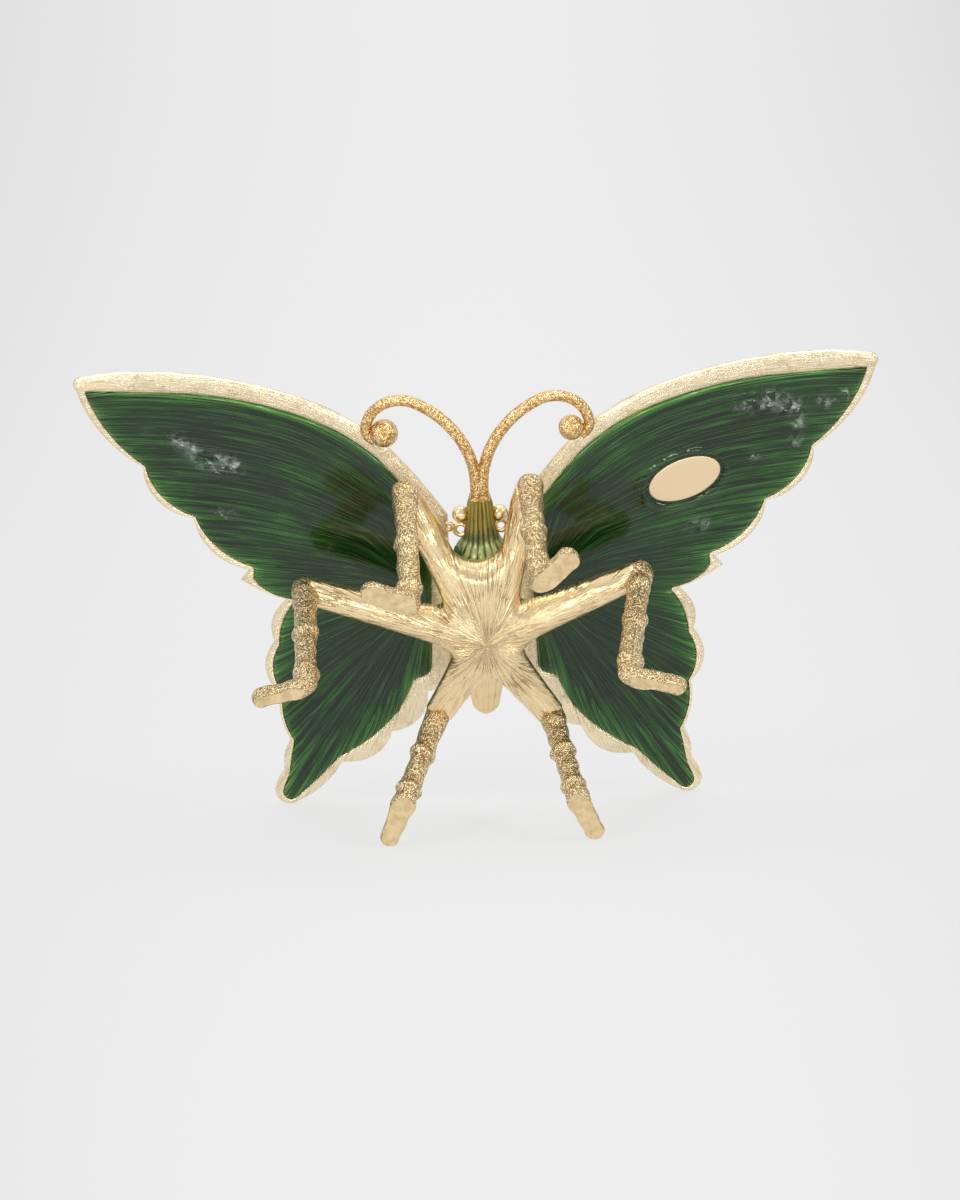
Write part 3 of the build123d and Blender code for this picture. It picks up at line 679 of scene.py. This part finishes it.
# Raised veins of the upper face: half-sunk bars from the roots, cross bars between them and a collar at each stone
def makeVeins(side, word):
    made, bars, collars = [], [], []
    thick = wing["thick"]
    for root, ends in zip(veins["roots"], veins["ends"]):
        root, ends = np.array(root), np.array(ends)
        crossings = root + veins["cross"] * (ends - root)
        bars += [(root, end, veins["half"][0], veins["half"][1]) for end in ends]
        bars += [(a, b, veins["half"][1], veins["half"][1]) for a, b in zip(crossings, crossings[1:])]
        collars += list(crossings[1:-1])
    for index, (start, end, first, last) in enumerate(bars):
        tries = np.linspace(0.5, 0.985, 60)
        inner = insideBare(start + tries[:, None] * (end - start)) > -0.2
        share = np.linspace(0.01, tries[inner].max(), 40)[:, None]
        path = onWing(start + share * (end - start), thick - veins["sunk"], side)
        radius = (first + share * (last - first)) * np.minimum(1, np.minimum(share, 1 - share) * 30) ** 0.5
        rings, _, _, angle = tubeRings(path, (0, 1, 0), radius, 12)
        uv = gridUv(angle[None], lengthAlong(path)[:, None], rings.shape[:2])
        made.append(makeShell(f"{word}Vein{index}", rings, [path[0], path[-1]], bodyGold, uv))
    turn = np.linspace(0, 2 * np.pi, 32, endpoint=False)
    hole, outside, height = veins["setting"]
    profile = [(outside, -0.5), (outside, height - 0.12), (outside - 0.1, height)]
    profile += [(hole + 0.08, height), (hole, height - 0.1), (hole, -0.4)]
    slope = np.radians(wing["slope"])
    ball = np.array([wing["hollow"] * np.sin(slope), -wing["hollow"] * np.cos(slope), wing["level"]])
    for index, place in enumerate(collars):
        foot = onWing(place, thick, 1)
        up = (foot - ball) / np.linalg.norm(foot - ball)
        across = np.cross(up, (0, 0, 1))
        across /= np.linalg.norm(across)
        ring = np.cos(turn)[:, None] * across + np.sin(turn)[:, None] * np.cross(up, across)
        flip = np.array([side, 1, 1])
        rings = np.stack([foot + radius * ring + rise * up for radius, rise in profile]) * flip
        poles = [(foot - 0.5 * up) * flip, (foot - 0.4 * up) * flip]
        uv = gridUv(turn[None], np.arange(6)[:, None], rings.shape[:2])
        made.append(makeShell(f"{word}Collar{index}", rings, poles, plainGold, uv))
    return made


for side, word, material in ((1, "right", rightEnamel), (-1, "left", leftEnamel)):
    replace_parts(makeWingMetal(side, word), word + "_wing")
    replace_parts(makeUndersideEnamel(side, word, material), word + "_underside_enamel")
    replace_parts(makeTopEnamel(side, word, material), word + "_forewing_enamel", word + "_hindwing_enamel")
    for piece in makeVeins(side, word):
        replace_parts(piece, word + "_wing")
print("wings made")

plate = {"half": (6.55, 3.9), "turn": 20.0, "place": (35.8, 19.3), "surface": -0.26, "top": -0.50}


# Places round the plate's oval, this far outside it along its normal
def ovalAt(grow, turn):
    a, b = plate["half"]
    normal = np.stack([np.cos(turn) / a, np.sin(turn) / b], -1)
    normal /= np.hypot(*normal.T)[:, None]
    flat = np.stack([a * np.cos(turn), b * np.sin(turn)], -1) + grow * normal
    lean = np.radians(plate["turn"])
    spin = np.array([[np.cos(lean), -np.sin(lean)], [np.sin(lean), np.cos(lean)]])
    return flat @ spin.T + np.array(plate["place"])


# The bare plate: a low dome with a rounded edge. Each step is a distance outside the oval and a height
def makePlate():
    turn = np.linspace(0, 2 * np.pi, 144, endpoint=False)
    top = plate["top"]
    steps = [(-0.30, top), (-0.12, top + 0.03), (-0.03, top + 0.10), (0.0, top + 0.22), (0.0, 0.4)]
    heart = np.array(plate["place"])
    inside = ovalAt(-0.30, turn)
    places = [heart + share * (inside - heart) for share in (0.2, 0.4, 0.6, 0.8)]
    places += [ovalAt(grow, turn) for grow, _ in steps]
    lifts = [top - 0.02] * 4 + [lift for _, lift in steps]
    rings = np.stack([onWing(ring, lift, 1) for ring, lift in zip(places, lifts)])
    poles = [onWing(heart, top - 0.02, 1), onWing(heart, 0.4, 1)]
    return makeShell("barePlate", rings, poles, plateGold, np.stack(places))


# Faces of a ring of rings, closed both ways
def torusFaces(count, around):
    return ringFaces(count + 1, around) % (count * around)


# The enamel's lip round the plate: a narrow moat, a steep inner side, a round crest and a long outer slope
def makePlateLip():
    turn = np.linspace(0, 2 * np.pi, 180, endpoint=False)
    level = plate["surface"]
    steps = [(0.40, 0.45), (0.42, level + 0.10), (0.50, level - 0.12), (0.66, level - 0.32), (0.86, level - 0.43)]
    steps += [(1.08, level - 0.46), (1.30, level - 0.40), (1.58, level - 0.24), (1.90, level - 0.12)]
    steps += [(2.4, level - 0.04), (3.2, level + 0.01), (3.3, level + 0.05), (3.2, 0.45)]
    places = np.stack([ovalAt(grow, turn) for grow, _ in steps])
    rings = np.stack([onWing(ring, lift, 1) for ring, (_, lift) in zip(places, steps)])
    spots = places.reshape(-1, 2)
    numbers = {"border": np.full(len(spots), 0.05), "crinkle": np.full(len(spots), 0.12)}
    faces = [torusFaces(len(steps), len(turn))]
    return makePiece("plateLip", rings.reshape(-1, 3), faces, rightEnamel, fanUv(spots), numbers)


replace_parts(makePlate(), "oval_plate")
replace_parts(makePlateLip(), "right_underside_enamel")
print("plate made")

hub = {
    "middle": (0.5, -9.0, -2.8),
    "knees": {
        "front_left": (-12.83, -4, 23.41),
        "front_right": (8.69, -4, 23.80),
        "middle_left": (-30.84, -4, 5.18),
        "middle_right": (27.39, -4, 6.42),
        "rear_left": (-8.49, -9, -17.55),
        "rear_right": (11.45, -9, -18.40),
    },
    "core": 3.4,                # radius of the hub without its thighs
    "dents": 0.10,
    "short": 0.4,               # thigh's end before the knee
    "rootHalf": 3.5,
    "endHalf": 2.45,
    "collar": (-0.9, 16.2, 5.1),    # circle that the web between the front thighs leaves free, for the neck
    "power": 3.4,
    "thick": 3.1,
}


# Radius of the star's edge in each direction: the power mean of the thighs' own edges, so that they join in webs,
# and between the front thighs out to the circle round the neck. Also the slope of its middle surface along the thigh
def starEdge(angles):
    middle = np.array(hub["middle"])
    total = np.full(len(angles), hub["core"] ** hub["power"])
    slope, weight = np.zeros(len(angles)), np.full(len(angles), 1e-6)
    for knee in hub["knees"].values():
        away = np.array(knee) - middle
        reach = np.hypot(away[0], away[2])
        off = np.abs((angles - np.arctan2(away[2], away[0]) + np.pi) % (2 * np.pi) - np.pi)
        taper = (hub["rootHalf"] - hub["endHalf"]) / reach
        sides = hub["rootHalf"] / np.maximum(np.sin(off) + taper * np.cos(off), 1e-3)
        end = (reach - hub["short"]) / np.maximum(np.cos(off), 1e-3)
        radius = np.where(off < np.pi / 2, np.minimum(sides, end), 0.0)
        total += radius ** hub["power"]
        slope += away[1] / reach * radius**5
        weight += radius**5
    edge = total ** (1 / hub["power"])
    x, z, free = hub["collar"]
    away = np.array([x - middle[0], z - middle[2]])
    distance = np.hypot(*away)
    off = np.abs(angles - np.arctan2(away[1], away[0]))
    near = distance * np.cos(off) - np.sqrt(np.clip(free**2 - (distance * np.sin(off)) ** 2, 0, None))
    edge = np.where((off < 1) & (np.sin(off) * distance < free * 0.985), near, edge)
    return edge, slope / weight


# Directions round the hub: evenly all round, and those of even steps along the sides and the end of each thigh
def starAngles():
    angles = [np.linspace(-np.pi, np.pi, 240, endpoint=False)]
    middle = np.array(hub["middle"])
    for knee in hub["knees"].values():
        away = np.array(knee) - middle
        reach = np.hypot(away[0], away[2])
        sides = hub["rootHalf"] / np.linspace(5, reach, 46) - (hub["rootHalf"] - hub["endHalf"]) / reach
        ends = np.linspace(-1, 1, 15) * sides[-1]
        angles.append(np.arctan2(away[2], away[0]) + np.concatenate([sides, -sides, ends]))
    together = np.sort((np.concatenate(angles) + np.pi) % (2 * np.pi) - np.pi)
    return together[np.concatenate([[True], np.diff(together) > 1e-4])]


# Height of a gentle unevenness: a sum of a few waves in different directions
def unevenness(points, seed, size):
    chance = np.random.default_rng(seed)
    total = np.zeros(points.shape[:-1])
    for _ in range(9):
        way = chance.normal(size=3)
        way *= 2 * np.pi / (size * chance.uniform(0.7, 1.6) * np.linalg.norm(way))
        total += np.sin(points @ way + chance.uniform(0, 2 * np.pi))
    return total / 3


# The belly frame: a star in polar form whose front and back stand off its middle surface by a round profile
# of the distance to its edge
def makeBellyFrame():
    middle = np.array(hub["middle"])
    angles = starAngles()
    edge, slope = starEdge(angles)
    shares = np.concatenate([np.linspace(0, 0.9, 40), 1 - 0.1 * np.linspace(1, 0, 10)[1:] ** 2])
    away = np.stack([np.cos(angles), np.sin(angles)], -1)
    flat = shares[:, None, None] * edge[None, :, None] * away[None]
    rim = edge[:, None] * away
    a, b = rim, np.roll(rim, -1, axis=0)
    ab = b - a
    gap = np.empty(flat.shape[:2])
    for row in range(len(flat)):
        along = np.clip(((flat[row][:, None] - a) * ab).sum(-1) / (ab * ab).sum(-1), 0, 1)
        gap[row] = np.hypot(*(flat[row][:, None] - a - along[..., None] * ab).transpose(2, 0, 1)).min(1)
    distance = np.hypot(flat[..., 0], flat[..., 1])
    full = hub["thick"] - (hub["thick"] - hub["endHalf"]) * np.clip(distance / 28, 0, 1)
    bulge = full * np.sqrt(np.clip(1 - (1 - np.clip(gap / full, 0, 1)) ** 2, 0, 1))
    level = middle[1] + slope[None] * distance
    x, z = middle[0] + flat[..., 0], middle[2] + flat[..., 1]
    bumps = hub["dents"] * unevenness(np.stack([x, level, z], -1), 5, 5.0)
    bumps = bumps * smoothStep(0, 1.5, gap) * smoothStep(2, 9, distance)
    front = np.stack([x, level - bulge - bumps, z], -1)
    behind = np.stack([x, level + bulge, z], -1)
    rings = np.concatenate([front[1:], behind[1:-1][::-1]])
    uv = gridUv(angles[None], distance, distance.shape)
    uv = np.concatenate([uv[1:], uv[1:-1][::-1]])
    poles = [middle + np.array([0, -hub["thick"], 0]), middle + np.array([0, hub["thick"], 0])]
    return makeShell("bellyFrameStar", rings, poles, frameGold, uv)


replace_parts(makeBellyFrame(), "belly_frame")
print("belly frame made")

# X and Z of each ankle and toe
legs = {
    "front_left": ((-12.21, 16.48), (-18.49, 19.09)),
    "front_right": ((9.59, 19.77), (14.28, 24.52)),
    "middle_left": ((-30.36, 0.17), (-38.09, -1.71)),
    "middle_right": ((24.15, 0.39), (32.43, -1.75)),
    "rear_left": ((-14.70, -24.31), (-17.39, -31.33)),
    "rear_right": ((15.11, -24.31), (18.08, -31.33)),
}
shin = {
    "knee": 2.3,
    "slim": 1.9,
    "knots": (0.46, 0.86),
    "knot": 0.42,
    "knotWide": 0.035,
    "stance": 31.1,
    "tilt": 6.0,
    "bend": 2.0,
    # height of a foot's middle over its sole, and its radius at the heel and the tip
    "feet": {"front": (0.8, 2.1, 2.0), "middle": (1.35, 1.8, 1.65), "rear": (0.75, 2.1, 1.75)},
}


# Depth of the plane of the soles at a height
def soleDepth(height):
    return -(shin["stance"] + np.tan(np.radians(shin["tilt"])) * height)


# A lower leg: a round profile carried along knee, ankle and toe, with swellings at the knots, cut flat at the sole
def makeLeg(name, seed):
    rise, heel, tip = shin["feet"][name.split("_")[0]]
    bend = shin["bend"]
    knee = np.array(hub["knees"][name], float)
    ankle, toe = [np.array([x, soleDepth(z) + rise, z]) for x, z in legs[name]]
    down = (ankle - knee) / np.linalg.norm(ankle - knee)
    out = (toe - ankle) / np.linalg.norm(toe - ankle)
    s = np.linspace(0, 1, 150)[:, None]
    t, u = np.linspace(0, 1, 26)[1:, None], np.linspace(0, 1, 50)[1:, None]
    turnStart, turnEnd = ankle - down * bend, ankle + out * bend
    curve = (1 - t) ** 2 * turnStart + 2 * t * (1 - t) * ankle + t**2 * turnEnd
    path = np.vstack([knee + s * (turnStart - knee), curve, turnEnd + u * (toe - turnEnd)])
    length = lengthAlong(path)
    shinLength = np.linalg.norm(turnStart - knee)
    share = length / (shinLength + bend)
    radius = shin["knee"] + (shin["slim"] - shin["knee"]) * smoothStep(0.0, 0.30, share)
    for knot in shin["knots"]:
        radius = radius + shin["knot"] * np.exp(-(((share - knot) / shin["knotWide"]) ** 2))
    foot = heel + (tip - heel) * smoothStep(shinLength + bend, shinLength + 3 * bend, length)
    radius = radius + (foot - radius) * smoothStep(shinLength, shinLength + bend, length)
    side = (0.2, 0.1, 1.0) if "middle" in name else (1.0, 0.1, 0.0)
    rings, tangent, ring, angle = tubeRings(path, side, radius, 72)
    cap = np.linspace(0, np.pi / 2, 12)[1:-1]
    first, last = radius[0], radius[-1]
    start = np.stack([path[0] - tangent[0] * first * np.sin(a) + ring[0] * first * np.cos(a) for a in cap[::-1]])
    end = np.stack([path[-1] + tangent[-1] * last * np.sin(a) + ring[-1] * last * np.cos(a) for a in cap])
    rings = np.concatenate([start, rings, end])
    outward = np.concatenate([np.broadcast_to(ring[0], start.shape), ring, np.broadcast_to(ring[-1], end.shape)])
    rings = rings + 0.13 * unevenness(rings, seed, 3.2)[..., None] * outward
    poles = np.array([path[0] - tangent[0] * radius[0], path[-1] + tangent[-1] * radius[-1]])
    tilt = np.radians(shin["tilt"])
    normal = np.array([0, -np.cos(tilt), -np.sin(tilt)])
    origin = np.array([0, soleDepth(0), 0])
    over = np.clip((rings - origin) @ normal, 0, None)
    rings = rings - over[..., None] * normal
    poles = poles - np.clip((poles - origin) @ normal, 0, None)[:, None] * normal
    away = np.concatenate([np.zeros(len(start)), length, np.full(len(end), length[-1])])
    uv = gridUv(angle[None] * 2, away[:, None], rings.shape[:2])
    word = name.title().replace("_", "")
    return makeShell("turned" + word, rings, poles, legGold, uv, {"sole": np.clip(over * 12, 0, 1)})


for seed, name in enumerate(legs):
    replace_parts(makeLeg(name, seed), name + "_leg")
print("legs made")

antenna = {
    "start": (0.8, 20.0),
    "arcs": [(10.50, 38.08, 0.171), (19.40, 33.61, 0.237), (17.91, 30.89, 0.189)],
    "swing": 8.57,
    "forward": 1.0,
    "radius": 1.0,
    "bead": (16.30, 32.29),
    "beadRadius": {"right": 2.2, "left": 2.45},
}


# Antenna: a tube along three arcs with a ball at its end, in an upright plane swung towards the wing
def makeAntenna(side, word):
    flat, start = [], antenna["start"]
    for x, z, bulge in antenna["arcs"]:
        count = int(np.hypot(x - start[0], z - start[1]) / 0.22)
        flat.append(arcPoints(start, (x, z), bulge, count)[:-1])
        start = (x, z)
    flat = np.vstack(flat + [np.array([start])])
    swing = np.radians(antenna["swing"])

    def upright(points):
        x = points[..., 0]
        return np.stack([side * x * np.cos(swing), x * np.sin(swing) - antenna["forward"], points[..., 1]], -1)

    path = upright(flat)
    length = lengthAlong(path)
    radius = antenna["radius"] * (1.04 - 0.08 * smoothStep(0, 30, length))
    rings, _, _, angle = tubeRings(path, (side * np.sin(swing), -np.cos(swing), 0), radius, 32)
    uv = gridUv(angle[None], length[:, None], rings.shape[:2])
    tube = makeShell(word + "AntennaTube", rings, [path[0], path[-1]], antennaGold, uv)
    across = np.linspace(0, 2 * np.pi, 56, endpoint=False)
    up = np.linspace(-np.pi / 2, np.pi / 2, 30)[1:-1]
    middle = upright(np.array(antenna["bead"]))
    size = antenna["beadRadius"][word]
    level = np.cos(up)[:, None]
    ball = np.stack([level * np.cos(across), level * np.sin(across), np.sin(up)[:, None] * np.ones(56)], -1)
    poles = [middle - np.array([0, 0, size]), middle + np.array([0, 0, size])]
    uv = gridUv(across[None], up[:, None], ball.shape[:2])
    bead = makeShell(word + "AntennaBead", ball * size + middle, poles, antennaGold, uv)
    return tube, bead


for side, word in ((1, "right"), (-1, "left")):
    for piece in makeAntenna(side, word):
        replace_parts(piece, word + "_antenna")
print("antennae made")

head = {
    "profile": [
        (9.05, 4.2), (9.4, 4.5), (10.2, 4.65), (11.0, 4.3), (12.0, 3.6), (13.1, 3.05), (14.4, 2.85),
        (15.4, 2.75), (17.0, 2.55), (19.0, 2.25), (20.4, 1.85), (21.6, 1.5), (22.4, 1.3), (23.1, 0.9),
    ],
    "flutes": 18,
    "fluteDepth": 0.34,
    "loops": [(-3.49, 14.2, 1.05, 0.42), (3.56, 14.8, 1.0, 0.42), (-5.5, 14.8, 0.62, 0.36)],
}
body = {
    "profile": [
        (-22.8, 0.3), (-22.6, 1.2), (-22.0, 1.95), (-21.0, 2.45), (-18, 3.0), (-15, 3.7),
        (-8.5, 4.9), (-2, 6.0), (2, 6.1), (6.5, 5.0), (9, 4.0),
    ],
    "lift": 0.6,
    "flutes": 15,
    "fluteDepth": 0.26,
}


# A turned form about a line along Z: radius from a profile, less flutes that fade towards both ends
def turnedForm(form, low, high, lift, around=216, steps=110):
    heights, radii = np.array(form["profile"]).T
    z = np.linspace(heights[0], heights[-1], steps)
    radius = np.interp(z, heights, radii)
    radius = np.convolve(np.pad(radius, 3, mode="edge"), np.array([1, 2, 3, 4, 3, 2, 1]) / 16, mode="valid")
    angle = np.linspace(0, 2 * np.pi, around, endpoint=False)
    fade = smoothStep(heights[0], low, z) * (1 - smoothStep(high, heights[-1], z))
    groove = fade[:, None] * (1 - np.abs(np.cos(angle * form["flutes"] / 2)) ** 0.6)[None]
    full = radius[:, None] - form["fluteDepth"] * groove
    rings = np.stack([full * np.sin(angle), lift - full * np.cos(angle), np.broadcast_to(z[:, None], full.shape)], -1)
    poles = [np.array([0, lift, z[0]]), np.array([0, lift, z[-1]])]
    return rings, gridUv(angle[None], z[:, None], full.shape), poles, groove


# A small ring of wire beside the neck: a circle of circles in the plane of X and Z
def makeLoop(name, x, z, radius, wire):
    turn = np.linspace(0, 2 * np.pi, 48, endpoint=False)[:, None]
    angle = np.linspace(0, 2 * np.pi, 20, endpoint=False)[None, :]
    reach = radius + wire * np.cos(angle)
    points = np.stack([x + reach * np.cos(turn), 0 * turn + wire * np.sin(angle) - 0.3, z + reach * np.sin(turn)], -1)
    uv = gridUv(angle, turn, points.shape[:2]).reshape(-1, 2)
    return makePiece(name, points.reshape(-1, 3), [torusFaces(48, 20)], plainGold, uv, {})


rings, uv, poles, groove = turnedForm(head, 9.5, 21.0, 0.0)
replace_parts(makeShell("headFluted", rings, poles, headGlaze, uv, {"groove": groove}), "head")
for index, loop in enumerate(head["loops"]):
    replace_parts(makeLoop(f"headLoop{index}", *loop), "head")
rings, uv, poles, groove = turnedForm(body, -21.5, 0.0, body["lift"])
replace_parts(makeShell("bodyFluted", rings, poles, bodyGold, uv), "body")

for name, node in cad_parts.items():
    if node.hide_render:
        continue
    node.data.materials.clear()
    node.data.materials.append(stoneGreen if "crystal" in name else plainGold)
print("head and body made")

studio = {
    "distance": 800.0,
    "tilt": 28.0,               # of the view against the butterfly's own frame
    "roll": 1.8155,
    "aside": -0.505,
    "frameHeight": 210.0,
    "white": 0.821,
    "eyeHeight": 0.208,         # of the camera over the floor, and how far it stands back, in metres
    "eyeBack": 0.770,
    "glow": 0.86,               # share of the even white in what is seen of the floor
    "floorRadius": 8.0,
    # place, size and brightness of each lamp
    "lamps": {
        "upperLeft": ((-0.60, -0.50, 0.70), (0.22, 0.26), 13.0),
        "upperRight": ((0.65, -0.35, 0.72), (0.22, 0.26), 13.0),
        "overhead": ((0.0, 0.20, 0.95), (0.60, 0.40), 2.4),
        "lowFront": ((0.0, -0.78, 0.075), (0.90, 0.06), 9.0),
    },
}


# Camera at the photograph's place: it looks along the butterfly's tilt, rolled a little
def makeCamera():
    tilt, roll = np.radians(studio["tilt"]), np.radians(studio["roll"])
    along = np.array([0, np.cos(tilt), -np.sin(tilt)])
    up = np.array([0, np.sin(tilt), np.cos(tilt)])
    right = np.array([1.0, 0, 0])
    place = -studio["distance"] * along + studio["aside"] * right
    turnedRight = right * np.cos(roll) - up * np.sin(roll)
    turnedUp = right * np.sin(roll) + up * np.cos(roll)
    data = bpy.data.cameras.new("camera")
    data.sensor_width = 36
    data.lens = 36 * studio["distance"] / studio["frameHeight"]
    data.clip_start, data.clip_end = 0.05, 20
    camera = bpy.data.objects.new("camera", data)
    matrix = np.eye(4)
    matrix[:3, :3] = stanceTurn @ np.stack([turnedRight, turnedUp, -along], -1)
    matrix[:3, 3] = placed(place)
    camera.matrix_world = Matrix(matrix.tolist())
    bpy.context.scene.collection.objects.link(camera)
    bpy.context.scene.camera = camera


# An area lamp that looks at a point; its power is its brightness times pi times its area
def addLamp(name, place, target, size, brightness):
    data = bpy.data.lights.new(name, "AREA")
    data.shape = "RECTANGLE"
    data.size, data.size_y = size
    data.energy = brightness * np.pi * size[0] * size[1]
    lamp = bpy.data.objects.new(name, data)
    lamp.location = place
    lamp.rotation_euler = (Vector(target) - Vector(place)).to_track_quat("-Z", "Y").to_euler()
    lamp.visible_camera = False
    bpy.context.scene.collection.objects.link(lamp)


# Pale floor: most of what is seen of it is an even white glow, made darker towards the sides and the far corners as
# painted shade, and the rest is its lit surface with the object's shadow
def makeFloor():
    n = Nodes("paleFloor")
    n.set(Base_Color=(0.84, 0.84, 0.845, 1), Roughness=0.7, Specular_IOR_Level=0.1)
    x, y = n.parts(n.spot())[:2]
    back = n.math("MAXIMUM", n.math("ADD", y, studio["eyeBack"]), 0.05)
    aside = n.math("DIVIDE", x, back)
    aside = n.math("MINIMUM", n.scaled(aside, aside), 0.02)
    high = n.between(n.math("DIVIDE", studio["eyeHeight"], back), 0.216, 0.082)
    # painted shade: the glow is darker towards the sides and the far corners
    paintedFalloff = n.scaled(high, -0.041, n.scaled(aside, n.scaled(high, 7.0, 3.5)))
    white = n.add("ShaderNodeCombineColor")
    for channel in range(3):
        n.put(white.inputs[channel], n.math("SUBTRACT", studio["white"], paintedFalloff))
    glow = n.add("ShaderNodeEmission", {"Color": white.outputs[0]})
    path = n.add("ShaderNodeLightPath")
    seen = n.math("MAXIMUM", path.outputs["Is Glossy Ray"], path.outputs["Is Transmission Ray"])
    seen = n.math("MAXIMUM", path.outputs["Is Camera Ray"], seen)
    shares = {0: n.scaled(seen, studio["glow"]), 1: n.shader.outputs[0], 2: glow.outputs[0]}
    mix = n.add("ShaderNodeMixShader", shares)
    n.tree.links.new(mix.outputs[0], n.tree.nodes["Material Output"].inputs[0])
    mesh = bpy.data.meshes.new("floor")
    turn = np.linspace(0, 2 * np.pi, 96, endpoint=False)
    radius = studio["floorRadius"]
    points = np.stack([radius * np.cos(turn), radius * np.sin(turn), np.full(96, -0.00002)], -1)
    mesh.from_pydata(points.tolist(), [], [list(range(96))])
    mesh.materials.append(n.material)
    floor = bpy.data.objects.new("floor", mesh)
    bpy.context.scene.collection.objects.link(floor)


# Soft room: brightest overhead, darker in front
def makeRoom():
    world = bpy.data.worlds.new("studio")
    world.use_nodes = True
    bpy.context.scene.world = world
    tree = world.node_tree
    split = tree.nodes.new("ShaderNodeSeparateXYZ")
    tree.links.new(tree.nodes.new("ShaderNodeTexCoord").outputs["Generated"], split.inputs[0])
    product = tree.nodes.new("ShaderNodeMath")
    product.operation = "MULTIPLY"
    for slot, (axis, low, high, least, most) in enumerate((("Z", -0.2, 0.9, 0.62, 1.0), ("Y", -0.9, 0.4, 0.72, 1.0))):
        ramp = tree.nodes.new("ShaderNodeMapRange")
        ramp.interpolation_type = "SMOOTHSTEP"
        for key, value in (("From Min", low), ("From Max", high), ("To Min", least), ("To Max", most)):
            ramp.inputs[key].default_value = value
        tree.links.new(split.outputs[axis], ramp.inputs["Value"])
        tree.links.new(ramp.outputs[0], product.inputs[slot])
    tree.links.new(product.outputs[0], tree.nodes["Background"].inputs["Color"])


makeCamera()
makeFloor()
makeRoom()
target = placed((0, -5, 0))
for name, (place, size, brightness) in studio["lamps"].items():
    addLamp(name, place, target, size, brightness)
bpy.context.scene.view_settings.view_transform = "Standard"
print("stage made")
